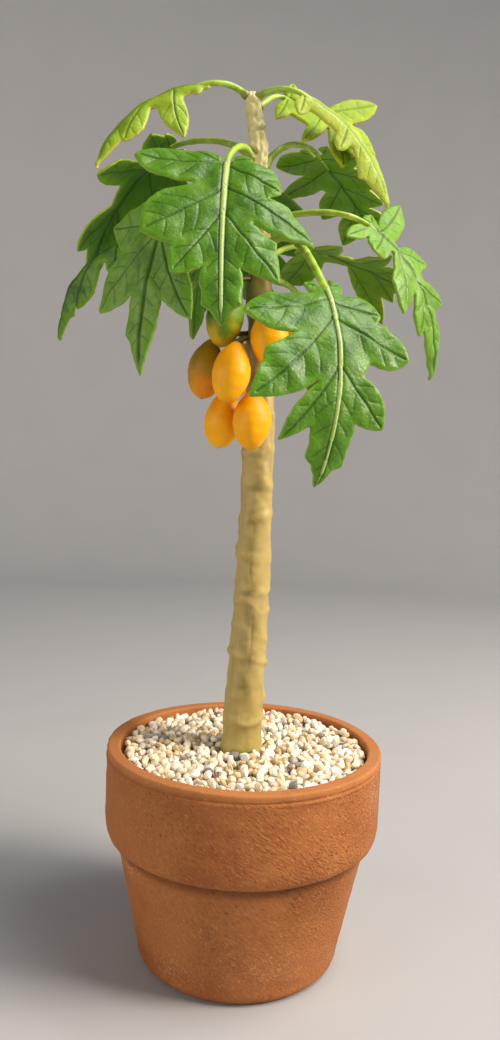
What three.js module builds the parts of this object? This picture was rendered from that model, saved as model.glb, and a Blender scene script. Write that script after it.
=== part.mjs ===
// A small model papaya tree that stands in a pot of gravel. Millimetres, +Z up.
// The origin is the centre of the pot's flat underside, and -Y is the front.
import * as THREE from 'three';

const GAP = 0.3;
const rad = THREE.MathUtils.degToRad;

// Pot: a thrown clay pot with a deep collar
const POT_HEIGHT = 98.7;
const POT_RIM_RADIUS = 62.5;
const POT_WALL = 6;
const POT_FLOOR = 7;
const POT_FOOT_RADIUS = 46.8;
const COLLAR_BOTTOM = 58;
const NECK_RADIUS = 58;
const LIP_ROUND = 1.3;
const POT_SIDES = 40;

// Gravel that fills the pot: its height by distance from the middle, a little heaped round the trunk
const GRAVEL_TOP = 97.8;
const GRAVEL_HEIGHTS = [[13, GRAVEL_TOP], [30, 97.4], [55, 97.1]];
const GRAVEL_LEVEL_RADIUS = 13;

// Lumps of the gravel, about 12 mm apart: each ring's radius and how many sides lie from one lump to the
// next; a ring without lumps dips instead.
const GRAVEL_RINGS = [[49, 0], [43, 2], [37, 0], [31, 2], [25, 0], [19, 4]];
const LUMP_RISE = 1.2;
const LUMP_DIP = 1.4;

// Trunk: centre line from the gravel to the tip, and its radius on the way up
const TRUNK_FOOT = GRAVEL_TOP + GAP;
const TRUNK_TIP = 389;
const TRUNK_LINE = [
  [-1.5, -1.2, TRUNK_FOOT], [0.2, -1.1, 145], [1.2, -1, 195], [1.2, -1, 240],
  [-0.8, -1, 305], [-3.5, -1, 360], [-7.4, -1, TRUNK_TIP],
];
const TRUNK_RADII = [
  [TRUNK_FOOT, 9.6], [104, 9], [120, 8.7], [160, 7.9], [230, 6.9], [300, 5.6], [340, 4.3], [375, 3.7],
  [TRUNK_TIP, 3.1],
];
const TRUNK_SIDES = 14;
const TRUNK_LEVELS = [
  TRUNK_FOOT, 100, 104, 130, 155, 260, 275, 290, 305, 320, 335, 350, 362, 374, 384, TRUNK_TIP,
];
const RING_HEIGHTS = [111, 121, 141, 171, 186, 203, 218, 233, 248];
const RING_SWELL = 0.7;
const RING_HALF_WIDTH = 3.2;

// Leaves
const BLADE_THICKNESS = 1.3;
const STALK_SIDES = 8;
const STALK_STEPS = 8;
const STALK_SLOT = 2.6;
const STALK_ROOT_SWELL = 1.12;
const STALK_END_SHRINK = 0.82;
const MIDRIB_STEP = 1.5;
const TIP_ROOT = 5;
const LOBE_STEPS = 4;
const LOBE_ROOT = 0.6;
const TOOTH_RISE = 0.22;
const TOOTH_DROP = 0.07;

// A lobe's rib leaves the midrib at an angle to it, and toothIn and toothOut say how far along each edge a
// tooth is. A lobe is widest at half its length, and the larger blunt is, the rounder its tip.
const lobe = (angle, length, width, toothIn = 0, toothOut = 0, blunt = 1.8) =>
  ({ angle, length, width, toothIn, toothOut, blunt, widest: 0.5, toothDepth: 0.22 });

// Four pairs of lobes that suit a leaf of any length, for the leaves at the back
const evenLobes = (length, width) => [0.03, 0.12, 0.28, 0.48].map((at, i) => {
  const angle = [112, 84, 62, 44][i];
  const reach = i === 0 ? 9 : [0, 0.4, 0.52, 0.42][i] * length * width;
  const breadth = [0.12, 0.22, 0.24, 0.2][i] * length;
  const tooth = i === 2 ? 0.55 : 0;
  return {
    at: at * length,
    left: lobe(angle, reach, breadth, 0, tooth),
    right: lobe(angle - 3, reach * 0.95, breadth, tooth),
  };
});

// Every leaf: base is where the blade starts, heading and pitch point along the midrib (degrees, pitch at
// the base and at the tip), roll turns the blade about it, lean and bow swing the midrib in the blade's own
// plane. Each half folds down at the midrib and curls by so many degrees in each 10 mm. The tip lobe has
// its teeth on the left and on the right edge.
const LEAVES = {
  front_middle: {
    base: [-16, -23.2, 350.6], heading: -86.5, pitch: [-49, -81.5], roll: 4, lean: -3.5, bow: 6.3,
    length: 79.5, fold: [-9, -8], curl: [12.8, 0], tipLobe: { at: 52, width: 17, teeth: [0.7, 0.7] },
    lobes: [
      { at: 1, left: lobe(104, 11, 7, 0, 0, 2.6), right: lobe(146, 11, 8, 0, 0, 2.4) },
      { at: 6, left: lobe(64, 26, 22, 0, 0, 2.4), right: lobe(92, 38, 19, 0, 0, 3) },
      { at: 22, left: lobe(67, 43, 16, 0.6, 0), right: lobe(57, 38, 27, 0, 0, 2.6) },
      { at: 34, left: lobe(40, 36, 18, 0.6, 0), right: lobe(38, 32, 17, 0, 0, 2.4) },
    ],
    stalk: { root: 360, side: -142, rise: 62, out: 8, back: 9, radius: 1.4 },
  },
  front_right: {
    base: [24.7, -48, 296.8], heading: -54, pitch: [-41, -113], roll: 11.5, lean: -11.6, bow: 4.4,
    length: 85.3, fold: [-1.5, 7.7], curl: [-1.4, -1.2],
    tipLobe: { at: 49.5, width: 17.5, teeth: [0.7, 0.7] },
    lobes: [
      { at: 1, left: lobe(116, 8, 10), right: lobe(120, 9, 9) },
      { at: 12, left: lobe(81, 19, 17.5, 0, 0, 2.4), right: lobe(84, 36, 22.5, 0, 0.4, 2.4) },
      { at: 21.4, left: lobe(69, 31, 16, 0.6, 0, 2.6), right: lobe(44, 49, 20.5, 0.6, 0) },
      { at: 41.5, left: lobe(50, 26.5, 16, 0, 0, 2.2), right: lobe(34.5, 35.5, 10.5) },
    ],
    stalk: { root: 322, side: -50, rise: 28, out: 18, back: 22, radius: 1.8 },
  },
  front_left: {
    base: [-40, -16, 334.3], heading: -121, pitch: [-78, -84], roll: -5, lean: -15, bow: 23, length: 74,
    fold: [5, 2.5], curl: [4, 6], tipLobe: { at: 28.5, width: 15.5, teeth: [0, 0.6] },
    lobes: [
      { at: 2, left: lobe(110, 12, 10), right: lobe(112, 11, 9) },
      { at: 11.5, left: lobe(75, 26, 16), right: lobe(90, 31, 19.5, 0.5, 0) },
      { at: 15, left: lobe(33, 41, 16), right: lobe(42, 40.5, 20.5, 0, 0, 2.3) },
    ],
    stalk: { root: 340, side: 205, rise: 35, out: 14, back: 10, radius: 1.4 },
  },
  upper_left: {
    base: [-25.5, -7.2, 388.5], heading: 186, pitch: [-5.5, -74], roll: -15, lean: -1.5, bow: 19, length: 68,
    fold: [53, 4], curl: [1, 2], tipLobe: { at: 36, width: 13, teeth: [0, 0.5] },
    lobes: [
      { at: 4.5, left: lobe(60, 6, 5), right: lobe(112, 9.5, 6) },
      { at: 18.5, left: lobe(78, 25, 15, 0, 0, 2.2), right: lobe(80, 20, 13) },
      { at: 30, left: lobe(19, 22.5, 12.5), right: lobe(34, 21, 11) },
    ],
    stalk: { root: 386.8, side: 190, rise: 34, out: 6, back: 7, radius: 1.3 },
  },
  upper_right_front: {
    base: [13.4, -9.8, 384.6], heading: -1, pitch: [-20.5, -79], roll: 15.5, lean: 10.5, bow: 12, length: 64,
    fold: [-10, 52], curl: [2, 3], tipLobe: { at: 32.5, width: 15.5, teeth: [0.4, 0.4] },
    lobes: [
      { at: 3, left: lobe(112, 10, 7), right: lobe(95, 10, 7.5, 0, 0, 2.4) },
      { at: 25.5, left: lobe(70, 14, 12), right: lobe(79, 12, 8.5, 0, 0, 2.6) },
    ],
    stalk: { root: 386, side: -25, rise: 20, out: 6, back: 7, radius: 1.3 },
  },
  upper_right_rear: {
    base: [7.2, 9, 389.8], heading: 3, pitch: [-17, -56], roll: 28, lean: -3.5, bow: 3.5, length: 51.5,
    fold: [-33, 15.5], curl: [0, 9], tipLobe: { at: 34, width: 12, teeth: [0, 0] },
    lobes: [
      { at: 3, left: lobe(105, 11, 8), right: lobe(96, 18.5, 7.5) },
      { at: 20.5, left: lobe(71, 31.5, 11, 0, 0, 2.4), right: lobe(93, 23, 7.5, 0, 0, 2.4) },
      { at: 26, left: lobe(18, 22, 16.5), right: lobe(43, 24.5, 12.5) },
    ],
    stalk: { root: 383, side: 30, rise: 45, out: 6, back: 5, radius: 1.2 },
  },
  left_rear: {
    base: [-43.5, 18.8, 370.2], heading: 153, pitch: [-31, -66], roll: 13, lean: 6, bow: -17.5, length: 78.5,
    fold: [9, 20], curl: [7, 3], tipLobe: { at: 44, width: 15, teeth: [0, 0] },
    lobes: [
      { at: 1.5, left: lobe(111, 12, 8), right: lobe(105, 12, 9) },
      { at: 8, left: lobe(110, 20, 13), right: lobe(78, 28, 14) },
      { at: 18.5, left: lobe(73, 30, 14, 0, 0, 2.4), right: lobe(58, 34, 16) },
      { at: 40.5, left: lobe(30, 26.5, 12.5, 0, 0, 2.4), right: lobe(38, 22, 12) },
    ],
    stalk: { root: 361.5, side: 155, rise: 46, out: 16, back: 5, radius: 1.4 },
  },
  left_side: {
    base: [-59.4, 5, 325.4], heading: 175, pitch: [-15, -96], roll: -19.5, lean: -9, bow: -9.5, length: 64.5,
    fold: [52, 15], curl: [3.6, 3], tipLobe: { at: 35, width: 13, teeth: [0.5, 0.5] },
    lobes: [
      { at: 1, left: lobe(115, 9, 7), right: lobe(115, 10, 8) },
      { at: 8, left: lobe(75, 20, 12), right: lobe(75, 22, 12) },
      { at: 19, left: lobe(18, 28, 16.5), right: lobe(50, 28, 13) },
    ],
    stalk: { root: 322, side: 172, rise: 26, out: 18, back: 12, radius: 1.4 },
  },
  right_side: {
    base: [45, -9, 331.1], heading: 2.5, pitch: [-31.5, -110], roll: 25, lean: 4.7, bow: 35.5, length: 82.6,
    fold: [-13.5, 20], curl: [-3.5, 2], tipLobe: { at: 43, width: 13.5, teeth: [0, 0] },
    lobes: [
      { at: 1, left: lobe(100, 10, 8), right: lobe(114, 19, 7.5) },
      { at: 9.5, left: lobe(92, 32.5, 11.5, 0, 0, 2.6), right: lobe(98, 14.5, 12.5, 0, 0, 2.2) },
      { at: 19, left: lobe(50.5, 20.5, 12, 0, 0, 2), right: lobe(46.5, 28.5, 15, 0.5, 0) },
      { at: 36.5, left: lobe(45, 19.5, 11.5), right: lobe(31, 21.5, 13.5) },
    ],
    stalk: { root: 334, side: -12, rise: 12, out: 16, back: 14, radius: 1.4 },
  },
  right_rear: {
    base: [24.1, 22.2, 370], heading: 45, pitch: [-19.5, -43.5], roll: -3, lean: 5, bow: -10.5, length: 56,
    fold: [0, 0], curl: [1, 2], tipLobe: { at: 40, width: 14, teeth: [0, 0] },
    lobes: [
      { at: 1, left: lobe(138, 10, 6), right: lobe(124, 9, 7) },
      { at: 4, left: lobe(102, 25, 16, 0, 0, 2.4), right: lobe(80, 20, 13) },
      { at: 13, left: lobe(83, 36, 11), right: lobe(60, 26, 14) },
      { at: 23.5, left: lobe(62, 26, 13), right: lobe(45, 20.5, 12) },
      { at: 37, left: lobe(54, 26, 12), right: lobe(40, 18, 10) },
    ],
    stalk: { root: 358, side: 40, rise: 64, out: 13, back: 13, radius: 1.4 },
  },
  right_low_rear: {
    base: [21.7, 21.1, 327.7], heading: 34, pitch: [-11.5, -49], roll: -8, lean: -18.5, bow: -29,
    length: 52.5, fold: [10, 18.5], curl: [0.6, 0.5], tipLobe: { at: 36, width: 13, teeth: [0, 0] },
    lobes: [
      { at: 1, left: lobe(138, 9, 6), right: lobe(115, 10, 8) },
      { at: 4, left: lobe(99, 33, 16, 0, 0, 2.4), right: lobe(75, 24, 12) },
      { at: 22, left: lobe(48, 34, 12, 0, 0, 2.4), right: lobe(53, 30, 10.5) },
      { at: 33, left: lobe(40, 17, 9), right: lobe(42, 20, 11) },
    ],
    stalk: { root: 318, side: 48, rise: 38, out: 10, back: 9, radius: 1.3 },
  },
  left_low_rear: {
    base: [-21.5, 20, 331.5], heading: 158, pitch: [-58, -95], roll: 0, lean: 0, bow: 0, length: 50,
    fold: [10, 10], curl: [2, 2], tipLobe: { at: 30, width: 16, teeth: [0, 0] }, lobes: evenLobes(50, 0.75),
    stalk: { root: 318, side: 130, rise: 40, out: 9, back: 7, radius: 1.4 },
  },
  rear_high: {
    base: [-7, 34, 362.5], heading: 90, pitch: [-32, -84], roll: 4, lean: 0, bow: -12, length: 76,
    fold: [10, 12], curl: [3, 3], tipLobe: { at: 48, width: 15, teeth: [0.5, 0.5] }, lobes: evenLobes(76, 1),
    stalk: { root: 352.5, side: 92, rise: 45, out: 14, back: 12, radius: 1.5 },
  },
  rear_low: {
    base: [20, 40, 307], heading: 64, pitch: [-24, -98], roll: -6, lean: 0, bow: 6, length: 60,
    fold: [8, 12], curl: [3, 3], tipLobe: { at: 38, width: 13, teeth: [0.5, 0.5] }, lobes: evenLobes(60, 0.9),
    stalk: { root: 309, side: 66, rise: 22, out: 12, back: 12, radius: 1.5 },
  },
};

// Fruit: where its middle is, how far its lower end swings out from the trunk, and how ripe its colour is
const FRUIT_RADIUS = 8.2;
const FRUIT_LENGTH = 27;
const FRUIT_SIDES = 12;
const FRUIT_TILT = 0.14;
const FRUIT_STEM_RADIUS = 1.1;
const FRUIT_STEM_RISE = 3;
const FRUIT_PROFILE = [
  [0.02, 0.16], [0.1, 0.42], [0.24, 0.76], [0.42, 0.97], [0.58, 1], [0.76, 0.87], [0.9, 0.6], [1, 0.2],
];
const FRUIT = {
  fruit_upper_left: { middle: [-15.2, -11.6, 291.5], ripe: 0.35 },
  fruit_left: { middle: [-22.8, -5, 268], ripe: 0.8 },
  fruit_middle: { middle: [-11.3, -20.5, 266.4], ripe: 1, tilt: 0.28 },
  fruit_right: { middle: [5.3, -16.5, 282], ripe: 1 },
  fruit_low_left: { middle: [-14.8, -4.8, 246.5], ripe: 1 },
  fruit_low_right: { middle: [-1.7, -17, 247], ripe: 1 },
  fruit_back_right: { middle: [15.5, 3, 276], ripe: 0.9 },
  fruit_back_left: { middle: [-10.2, 12.7, 270], ripe: 0.7 },
  fruit_back_middle: { middle: [3, 16, 286], ripe: 0.4 },
};

const group = new THREE.Group();

function addPart(name, geometry, color, roughness) {
  const mesh = new THREE.Mesh(geometry, new THREE.MeshStandardMaterial({ color, roughness, metalness: 0 }));
  mesh.name = name;
  group.add(mesh);
}

// Builds a geometry from points and the triangles that share them.
function indexedGeometry(points, triangles) {
  const geometry = new THREE.BufferGeometry();
  geometry.setAttribute('position', new THREE.Float32BufferAttribute(points.flatMap((p) => p.toArray()), 3));
  geometry.setIndex(triangles.flat());
  geometry.computeVertexNormals();
  return geometry;
}

// Turns a profile of [radius, height] pairs about the Z axis.
function turned(profile, sides) {
  const points = profile.map(([r, z]) => new THREE.Vector2(r, z));
  return new THREE.LatheGeometry(points, sides).rotateX(Math.PI / 2);
}

// Closes a stack of rings, all with the same number of points, into one body. The rings run
// counterclockwise about the way from the first to the last.
function ringBody(rings) {
  const sides = rings[0].length;
  const triangles = [];
  for (let i = 0; i + 1 < rings.length; i += 1) {
    for (let j = 0; j < sides; j += 1) {
      const a = i * sides + j;
      const b = i * sides + ((j + 1) % sides);
      triangles.push([a, b, b + sides], [a, b + sides, a + sides]);
    }
  }
  const last = (rings.length - 1) * sides;
  for (let j = 1; j + 1 < sides; j += 1) {
    triangles.push([0, j + 1, j], [last, last + j, last + j + 1]);
  }
  return indexedGeometry(rings.flat(), triangles);
}

// Points of a ring about a centre, square to a direction
function ring(centre, direction, radius, sides, side) {
  const across = new THREE.Vector3().crossVectors(side, direction).normalize();
  const up = new THREE.Vector3().crossVectors(direction, across).normalize();
  return Array.from({ length: sides }, (_, j) => {
    const angle = (2 * Math.PI * j) / sides;
    const point = centre.clone().addScaledVector(across, radius * Math.cos(angle));
    return point.addScaledVector(up, radius * Math.sin(angle));
  });
}

// Value at x on a smooth line through [x, value] pairs, held at its last value beyond the end
function along(pairs, x) {
  const found = pairs.findIndex(([key]) => key >= x);
  const i = found < 0 ? pairs.length - 1 : Math.max(1, found);
  const [x0, v0] = pairs[i - 1];
  const [x1, v1] = pairs[i];
  return v0 + (v1 - v0) * THREE.MathUtils.smoothstep(x, x0, x1);
}

const trunkLine = new THREE.CatmullRomCurve3(
  TRUNK_LINE.map((p) => new THREE.Vector3(...p)), false, 'centripetal').getPoints(240);

// The trunk's centre at a height
function trunkCentre(z) {
  const nearest = trunkLine.reduce((best, p) => (Math.abs(p.z - z) < Math.abs(best.z - z) ? p : best));
  return nearest.clone().setZ(z);
}

function trunkRadius(z) {
  const swell = RING_HEIGHTS.reduce((sum, h) => sum + Math.max(0, 1 - Math.abs(z - h) / RING_HALF_WIDTH), 0);
  return along(TRUNK_RADII, z) + RING_SWELL * swell;
}

const potInner = POT_RIM_RADIUS - POT_WALL;
const potInnerFoot = POT_FOOT_RADIUS - POT_WALL + 1;

function makePot() {
  return turned([
    [0, 0], [POT_FOOT_RADIUS - 1.6, 0], [POT_FOOT_RADIUS, 1.8], [NECK_RADIUS, COLLAR_BOTTOM],
    [NECK_RADIUS + 1.8, COLLAR_BOTTOM + 0.3], [POT_RIM_RADIUS - 0.7, COLLAR_BOTTOM + 3.5],
    [POT_RIM_RADIUS, COLLAR_BOTTOM + 8], [POT_RIM_RADIUS, POT_HEIGHT - LIP_ROUND],
    [POT_RIM_RADIUS - 0.4, POT_HEIGHT - 0.4], [POT_RIM_RADIUS - LIP_ROUND, POT_HEIGHT],
    [potInner + 1.4, POT_HEIGHT], [potInner + 0.3, POT_HEIGHT - 0.8], [potInner, POT_HEIGHT - LIP_ROUND],
    [potInner - 2, COLLAR_BOTTOM], [potInnerFoot, POT_FLOOR], [0, POT_FLOOR],
  ], POT_SIDES);
}

// Height of the gravel's lumps over its plain top, at a place on one of its rings
function lumpHeight(x, y, z) {
  const [radius, step] = GRAVEL_RINGS.find(([r]) => Math.abs(r - Math.hypot(x, y)) < 0.01) ?? [0, 0];
  if (!radius || z < COLLAR_BOTTOM) {
    return 0;
  }
  const side = Math.round((Math.atan2(y, x) / (2 * Math.PI)) * POT_SIDES);
  const uneven = 0.8 + 0.2 * Math.sin(2.4 * side + radius);
  return uneven * (step ? LUMP_RISE * Math.cos((2 * Math.PI * side) / step) : -LUMP_DIP);
}

// The gravel stands twice the gap clear of the pot's wall, which is flat between its corners. Its top has
// coarse lumps, apart from the level middle that the trunk stands on.
function makeGravel() {
  const geometry = turned([
    [0, POT_FLOOR + GAP], [potInnerFoot - 3 * GAP, POT_FLOOR + GAP], [potInner - 2 - 2 * GAP, COLLAR_BOTTOM],
    ...[potInner - 4 * GAP, ...GRAVEL_RINGS.map(([r]) => r)].map((r) => [r, along(GRAVEL_HEIGHTS, r)]),
    [GRAVEL_LEVEL_RADIUS, GRAVEL_TOP], [0, GRAVEL_TOP],
  ], POT_SIDES);
  const places = geometry.getAttribute('position');
  for (let i = 0; i < places.count; i += 1) {
    places.setZ(i, places.getZ(i) + lumpHeight(places.getX(i), places.getY(i), places.getZ(i)));
  }
  geometry.computeVertexNormals();
  return geometry;
}

function makeTrunk() {
  const ringLevels = RING_HEIGHTS.flatMap((h) => [h - RING_HALF_WIDTH, h, h + RING_HALF_WIDTH]);
  const levels = [...new Set([...TRUNK_LEVELS, ...ringLevels])].sort((a, b) => a - b);
  const up = new THREE.Vector3(0, 0, 1);
  const side = new THREE.Vector3(0, 1, 0);
  return ringBody(levels.map((z) => ring(trunkCentre(z), up, trunkRadius(z), TRUNK_SIDES, side)));
}

// The leaf's own directions at a distance s along its midrib: along it, to its left and out of its upper face
function leafFrame(leaf, s) {
  const u = THREE.MathUtils.clamp(s / leaf.length, 0, 1.2);
  const heading = rad(leaf.heading);
  const pitch = rad(leaf.pitch[0] + (leaf.pitch[1] - leaf.pitch[0]) * u);
  const swing = rad(leaf.lean + leaf.bow * u);
  const ahead = new THREE.Vector3(Math.cos(heading), Math.sin(heading), 0).multiplyScalar(Math.cos(pitch));
  ahead.setZ(Math.sin(pitch));
  const left = new THREE.Vector3(-Math.sin(heading), Math.cos(heading), 0);
  left.applyAxisAngle(ahead, rad(leaf.roll));
  const normal = new THREE.Vector3().crossVectors(ahead, left);
  ahead.applyAxisAngle(normal, swing);
  left.applyAxisAngle(normal, swing);
  return { ahead, left, normal };
}

// Point of the midrib at a distance s, by adding up short steps
function midribPoint(leaf, s) {
  const point = new THREE.Vector3(...leaf.base);
  if (s <= 0) {
    return point.addScaledVector(leafFrame(leaf, 0).ahead, s);
  }
  const steps = Math.ceil(s / MIDRIB_STEP);
  for (let i = 0; i < steps; i += 1) {
    point.addScaledVector(leafFrame(leaf, ((i + 0.5) * s) / steps).ahead, s / steps);
  }
  return point;
}

// Maps a flat place on the leaf (s along the midrib, w to its left) and a height above it into space
function leafPoint(leaf, s, w, height) {
  const { left, normal } = leafFrame(leaf, s);
  const half = w >= 0 ? 0 : 1;
  const fold = rad(leaf.fold[half]);
  const curl = rad(leaf.curl[half] || 0.01) / 10;
  const angle = fold + curl * Math.abs(w);
  const across = (Math.sin(angle) - Math.sin(fold)) / curl;
  const drop = (Math.cos(fold) - Math.cos(angle)) / curl;
  const tilt = w === 0 ? 0 : angle;
  return midribPoint(leaf, s)
    .addScaledVector(left, Math.sign(w) * (across + height * Math.sin(tilt)))
    .addScaledVector(normal, height * Math.cos(tilt) - drop);
}

// Half width of a lobe at t from its root (0) to its tip (1)
function lobeHalfWidth({ width, blunt, widest }, t) {
  if (t < widest) {
    return (width / 2) * (LOBE_ROOT + (1 - LOBE_ROOT) * Math.sin((Math.PI / 2) * (t / widest)));
  }
  return (width / 2) * (1 - ((t - widest) / (1 - widest)) ** blunt);
}

// A tooth rises along the edge to its place and drops quickly after it.
function toothHeight(shape, place, t) {
  if (!place) {
    return 0;
  }
  const rise = Math.max(0, (t - place + TOOTH_RISE) / TOOTH_RISE) ** 1.5;
  const fall = Math.max(0, 1 - (t - place) / TOOTH_DROP);
  return ((shape.toothDepth * shape.width) / 2) * (t <= place ? rise : fall);
}

// Flat point of a lobe: edge is -1 for the edge nearer the stalk, 0 for the rib and 1 for the other edge
function lobePoint(at, shape, t, edge) {
  const angle = rad(shape.angle);
  const tooth = edge < 0 ? shape.toothIn : shape.toothOut;
  const half = edge === 0 ? 0 : lobeHalfWidth(shape, t) + toothHeight(shape, tooth, t);
  return new THREE.Vector2(
    at + shape.length * t * Math.cos(angle) + edge * half * Math.sin(angle),
    shape.length * t * Math.sin(angle) - edge * half * Math.cos(angle),
  );
}

// Where two neighbouring lobes part: the outermost crossing of one's far edge with the next one's near edge
function parting(atA, lobeA, atB, lobeB) {
  const steps = 40;
  let nearest = { distance: Infinity };
  for (let i = steps; i >= 0; i -= 1) {
    const p = lobePoint(atA, lobeA, i / steps, 1);
    for (let j = steps; j >= 0; j -= 1) {
      const q = lobePoint(atB, lobeB, j / steps, -1);
      const distance = p.distanceTo(q);
      if (distance < nearest.distance - 0.25) {
        nearest = { distance, place: p.clone().lerp(q, 0.5), tA: i / steps, tB: j / steps };
      }
    }
    if (nearest.distance < 0.6) {
      break;
    }
  }
  return nearest;
}

// Stations on an edge from where the lobes part to the tip, with a tooth's point and notch among them
function edgeStations(start, tooth) {
  if (tooth && tooth > start + 0.05) {
    const notch = tooth + TOOTH_DROP;
    return [start, tooth, notch, (notch + 1) / 2 + 0.08, 1];
  }
  return [0, 0.34, 0.64, 0.86, 1].map((f) => start + (1 - start) * f);
}

// The lobes of one half, from the stalk to the tip, with the tip lobe last
function lobesOf(leaf, half) {
  const side = half > 0 ? 'left' : 'right';
  const { at, width, teeth } = leaf.tipLobe;
  const tip = lobe(0, leaf.length - at, width, teeth[half > 0 ? 0 : 1], 0, 1.6);
  return [
    ...leaf.lobes.map((pair) => ({ at: pair.at, shape: pair[side] })),
    { at, shape: { ...tip, widest: 0.35, toothDepth: 0.3 } },
  ];
}

// The line of flat points down a lobe's middle: it starts on the midrib and ends at the lobe's tip. The first
// lobe's line passes outside the slot for the stalk, and the tip lobe's line is the midrib.
function ribLine(lobes, i, start, end) {
  const { at, shape } = lobes[i];
  const stations = Array.from({ length: LOBE_STEPS + 1 }, (_, k) => k / LOBE_STEPS);
  if (i === lobes.length - 1) {
    const step = (end - start) / (LOBE_STEPS + 1);
    return [start, ...stations.map((_, k) => start + step * (k + 1))].map((s) => new THREE.Vector2(s, 0));
  }
  const from = i ? 0.2 : (STALK_SLOT + 1) / (shape.length * Math.sin(rad(shape.angle)));
  const rib = stations.map((t) => lobePoint(at, shape, from + (1 - from) * t, 0));
  if (i === 0) {
    rib[0].setX(Math.max(rib[0].x, 0.5));
  }
  return [new THREE.Vector2(at, 0), ...rib];
}

// Flat triangles of one half of a blade; half is 1 for the left and -1 for the right.
function halfBlade(leaf, half, vertex) {
  const lobes = lobesOf(leaf, half);
  const partings = lobes.slice(1).map((next, i) => parting(lobes[i].at, lobes[i].shape, next.at, next.shape));
  const roots = leaf.lobes.map(({ at }, i) => (at + (leaf.lobes[i + 1]?.at ?? at + TIP_ROOT)) / 2);
  const triangles = [];
  lobes.forEach(({ at, shape }, i) => {
    const before = partings[i - 1] ?? { tB: 0.22, place: new THREE.Vector2(0, STALK_SLOT) };
    const rootBefore = roots[i - 1] ?? 0;
    const inner = edgeStations(before.tB, shape.toothIn).map((t) => lobePoint(at, shape, t, -1));
    inner[0] = before.place;
    const least = i ? 0 : STALK_SLOT;
    inner.forEach((p) => p.setY(Math.max(p.y, least)));
    const lines = [[new THREE.Vector2(rootBefore, 0), ...inner], ribLine(lobes, i, rootBefore, leaf.length)];
    if (partings[i]) {
      const outer = edgeStations(partings[i].tA, shape.toothOut).map((t) => lobePoint(at, shape, t, 1));
      outer[0] = partings[i].place;
      lines.push([new THREE.Vector2(roots[i], 0), ...outer]);
    }
    const ids = lines.map((line) => line.map((p) => vertex(p.x, half * Math.max(0, p.y))));
    for (let m = 0; m + 1 < ids.length; m += 1) {
      for (let k = 0; k + 1 < ids[m].length; k += 1) {
        const [a, b] = [ids[m][k], ids[m][k + 1]];
        const [c, d] = [ids[m + 1][k], ids[m + 1][k + 1]];
        triangles.push([a, c, d], [a, d, b]);
      }
    }
  });
  const whole = triangles.filter(([a, b, c]) => a !== b && b !== c && a !== c);
  return whole.map(([a, b, c]) => (half > 0 ? [a, b, c] : [a, c, b]));
}

// One blade: a flat mesh of both halves, raised to its upper and lower face and walled round its edge
function makeBlade(leaf) {
  const flat = [];
  const index = new Map();
  const vertex = (s, w) => {
    const key = `${s.toFixed(3)} ${w.toFixed(3)}`;
    if (!index.has(key)) {
      index.set(key, flat.length);
      flat.push([s, Math.abs(w) < 5e-4 ? 0 : w]);
    }
    return index.get(key);
  };
  const faces = [...halfBlade(leaf, 1, vertex), ...halfBlade(leaf, -1, vertex)];
  const count = flat.length;
  const half = BLADE_THICKNESS / 2;
  const points = [half, -half].flatMap((height) => flat.map(([s, w]) => leafPoint(leaf, s, w, height)));
  const edges = new Set(faces.flatMap(([a, b, c]) => [`${a},${b}`, `${b},${c}`, `${c},${a}`]));
  const walls = [...edges].map((edge) => edge.split(',').map(Number))
    .filter(([a, b]) => !edges.has(`${b},${a}`));
  return indexedGeometry(points, [
    ...faces,
    ...faces.map(([a, b, c]) => [a + count, c + count, b + count]),
    ...walls.flatMap(([a, b]) => [[b, a, a + count], [b, a + count, b + count]]),
  ]);
}

// A stalk rises out of the trunk, arches over and runs straight into the blade's base. Its first ring is cut
// parallel to the trunk.
function makeStalk(leaf) {
  const { root, side, rise, out, back, radius } = leaf.stalk;
  const away = new THREE.Vector3(Math.cos(rad(side)), Math.sin(rad(side)), 0);
  const reach = Math.max(...[-3, 0, 3].map((z) => trunkRadius(root + z)));
  const start = trunkCentre(root).addScaledVector(away, reach + 1.5 * GAP);
  const leaving = away.clone().multiplyScalar(Math.cos(rad(rise))).setZ(Math.sin(rad(rise)));
  const { ahead } = leafFrame(leaf, 0);
  const end = new THREE.Vector3(...leaf.base).addScaledVector(ahead, -GAP);
  const path = new THREE.CubicBezierCurve3(
    start, start.clone().addScaledVector(leaving, out), end.clone().addScaledVector(ahead, -back), end);
  const up = new THREE.Vector3(0, 0, 1);
  return ringBody(Array.from({ length: STALK_STEPS + 1 }, (_, k) => {
    const t = k / STALK_STEPS;
    const direction = path.getTangent(t);
    const thickness = THREE.MathUtils.lerp(STALK_ROOT_SWELL, STALK_END_SHRINK, t);
    const points = ring(path.getPoint(t), direction, radius * thickness, STALK_SIDES, up);
    if (k === 0) {
      const slant = direction.dot(away);
      points.forEach((p) => p.addScaledVector(direction, start.clone().sub(p).dot(away) / slant));
    }
    return points;
  }));
}

// A fruit hangs from a short stem that runs from the trunk to the fruit's upper end.
function makeFruit({ middle, tilt = FRUIT_TILT }) {
  const centre = new THREE.Vector3(...middle);
  const trunk = trunkCentre(centre.z + FRUIT_LENGTH / 2);
  const away = centre.clone().sub(trunk).setZ(0).normalize();
  const axis = away.clone().multiplyScalar(tilt).setZ(-1).normalize();
  const crown = centre.clone().addScaledVector(axis, -FRUIT_LENGTH / 2);
  const root = trunk.addScaledVector(away, trunkRadius(trunk.z) + GAP).setZ(crown.z + FRUIT_STEM_RISE);
  return ringBody([
    ring(root, away, FRUIT_STEM_RADIUS, FRUIT_SIDES, new THREE.Vector3(0, 0, 1)),
    ...FRUIT_PROFILE.map(([t, r]) =>
      ring(crown.clone().addScaledVector(axis, FRUIT_LENGTH * t), axis, FRUIT_RADIUS * r, FRUIT_SIDES, away)),
  ]);
}

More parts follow.
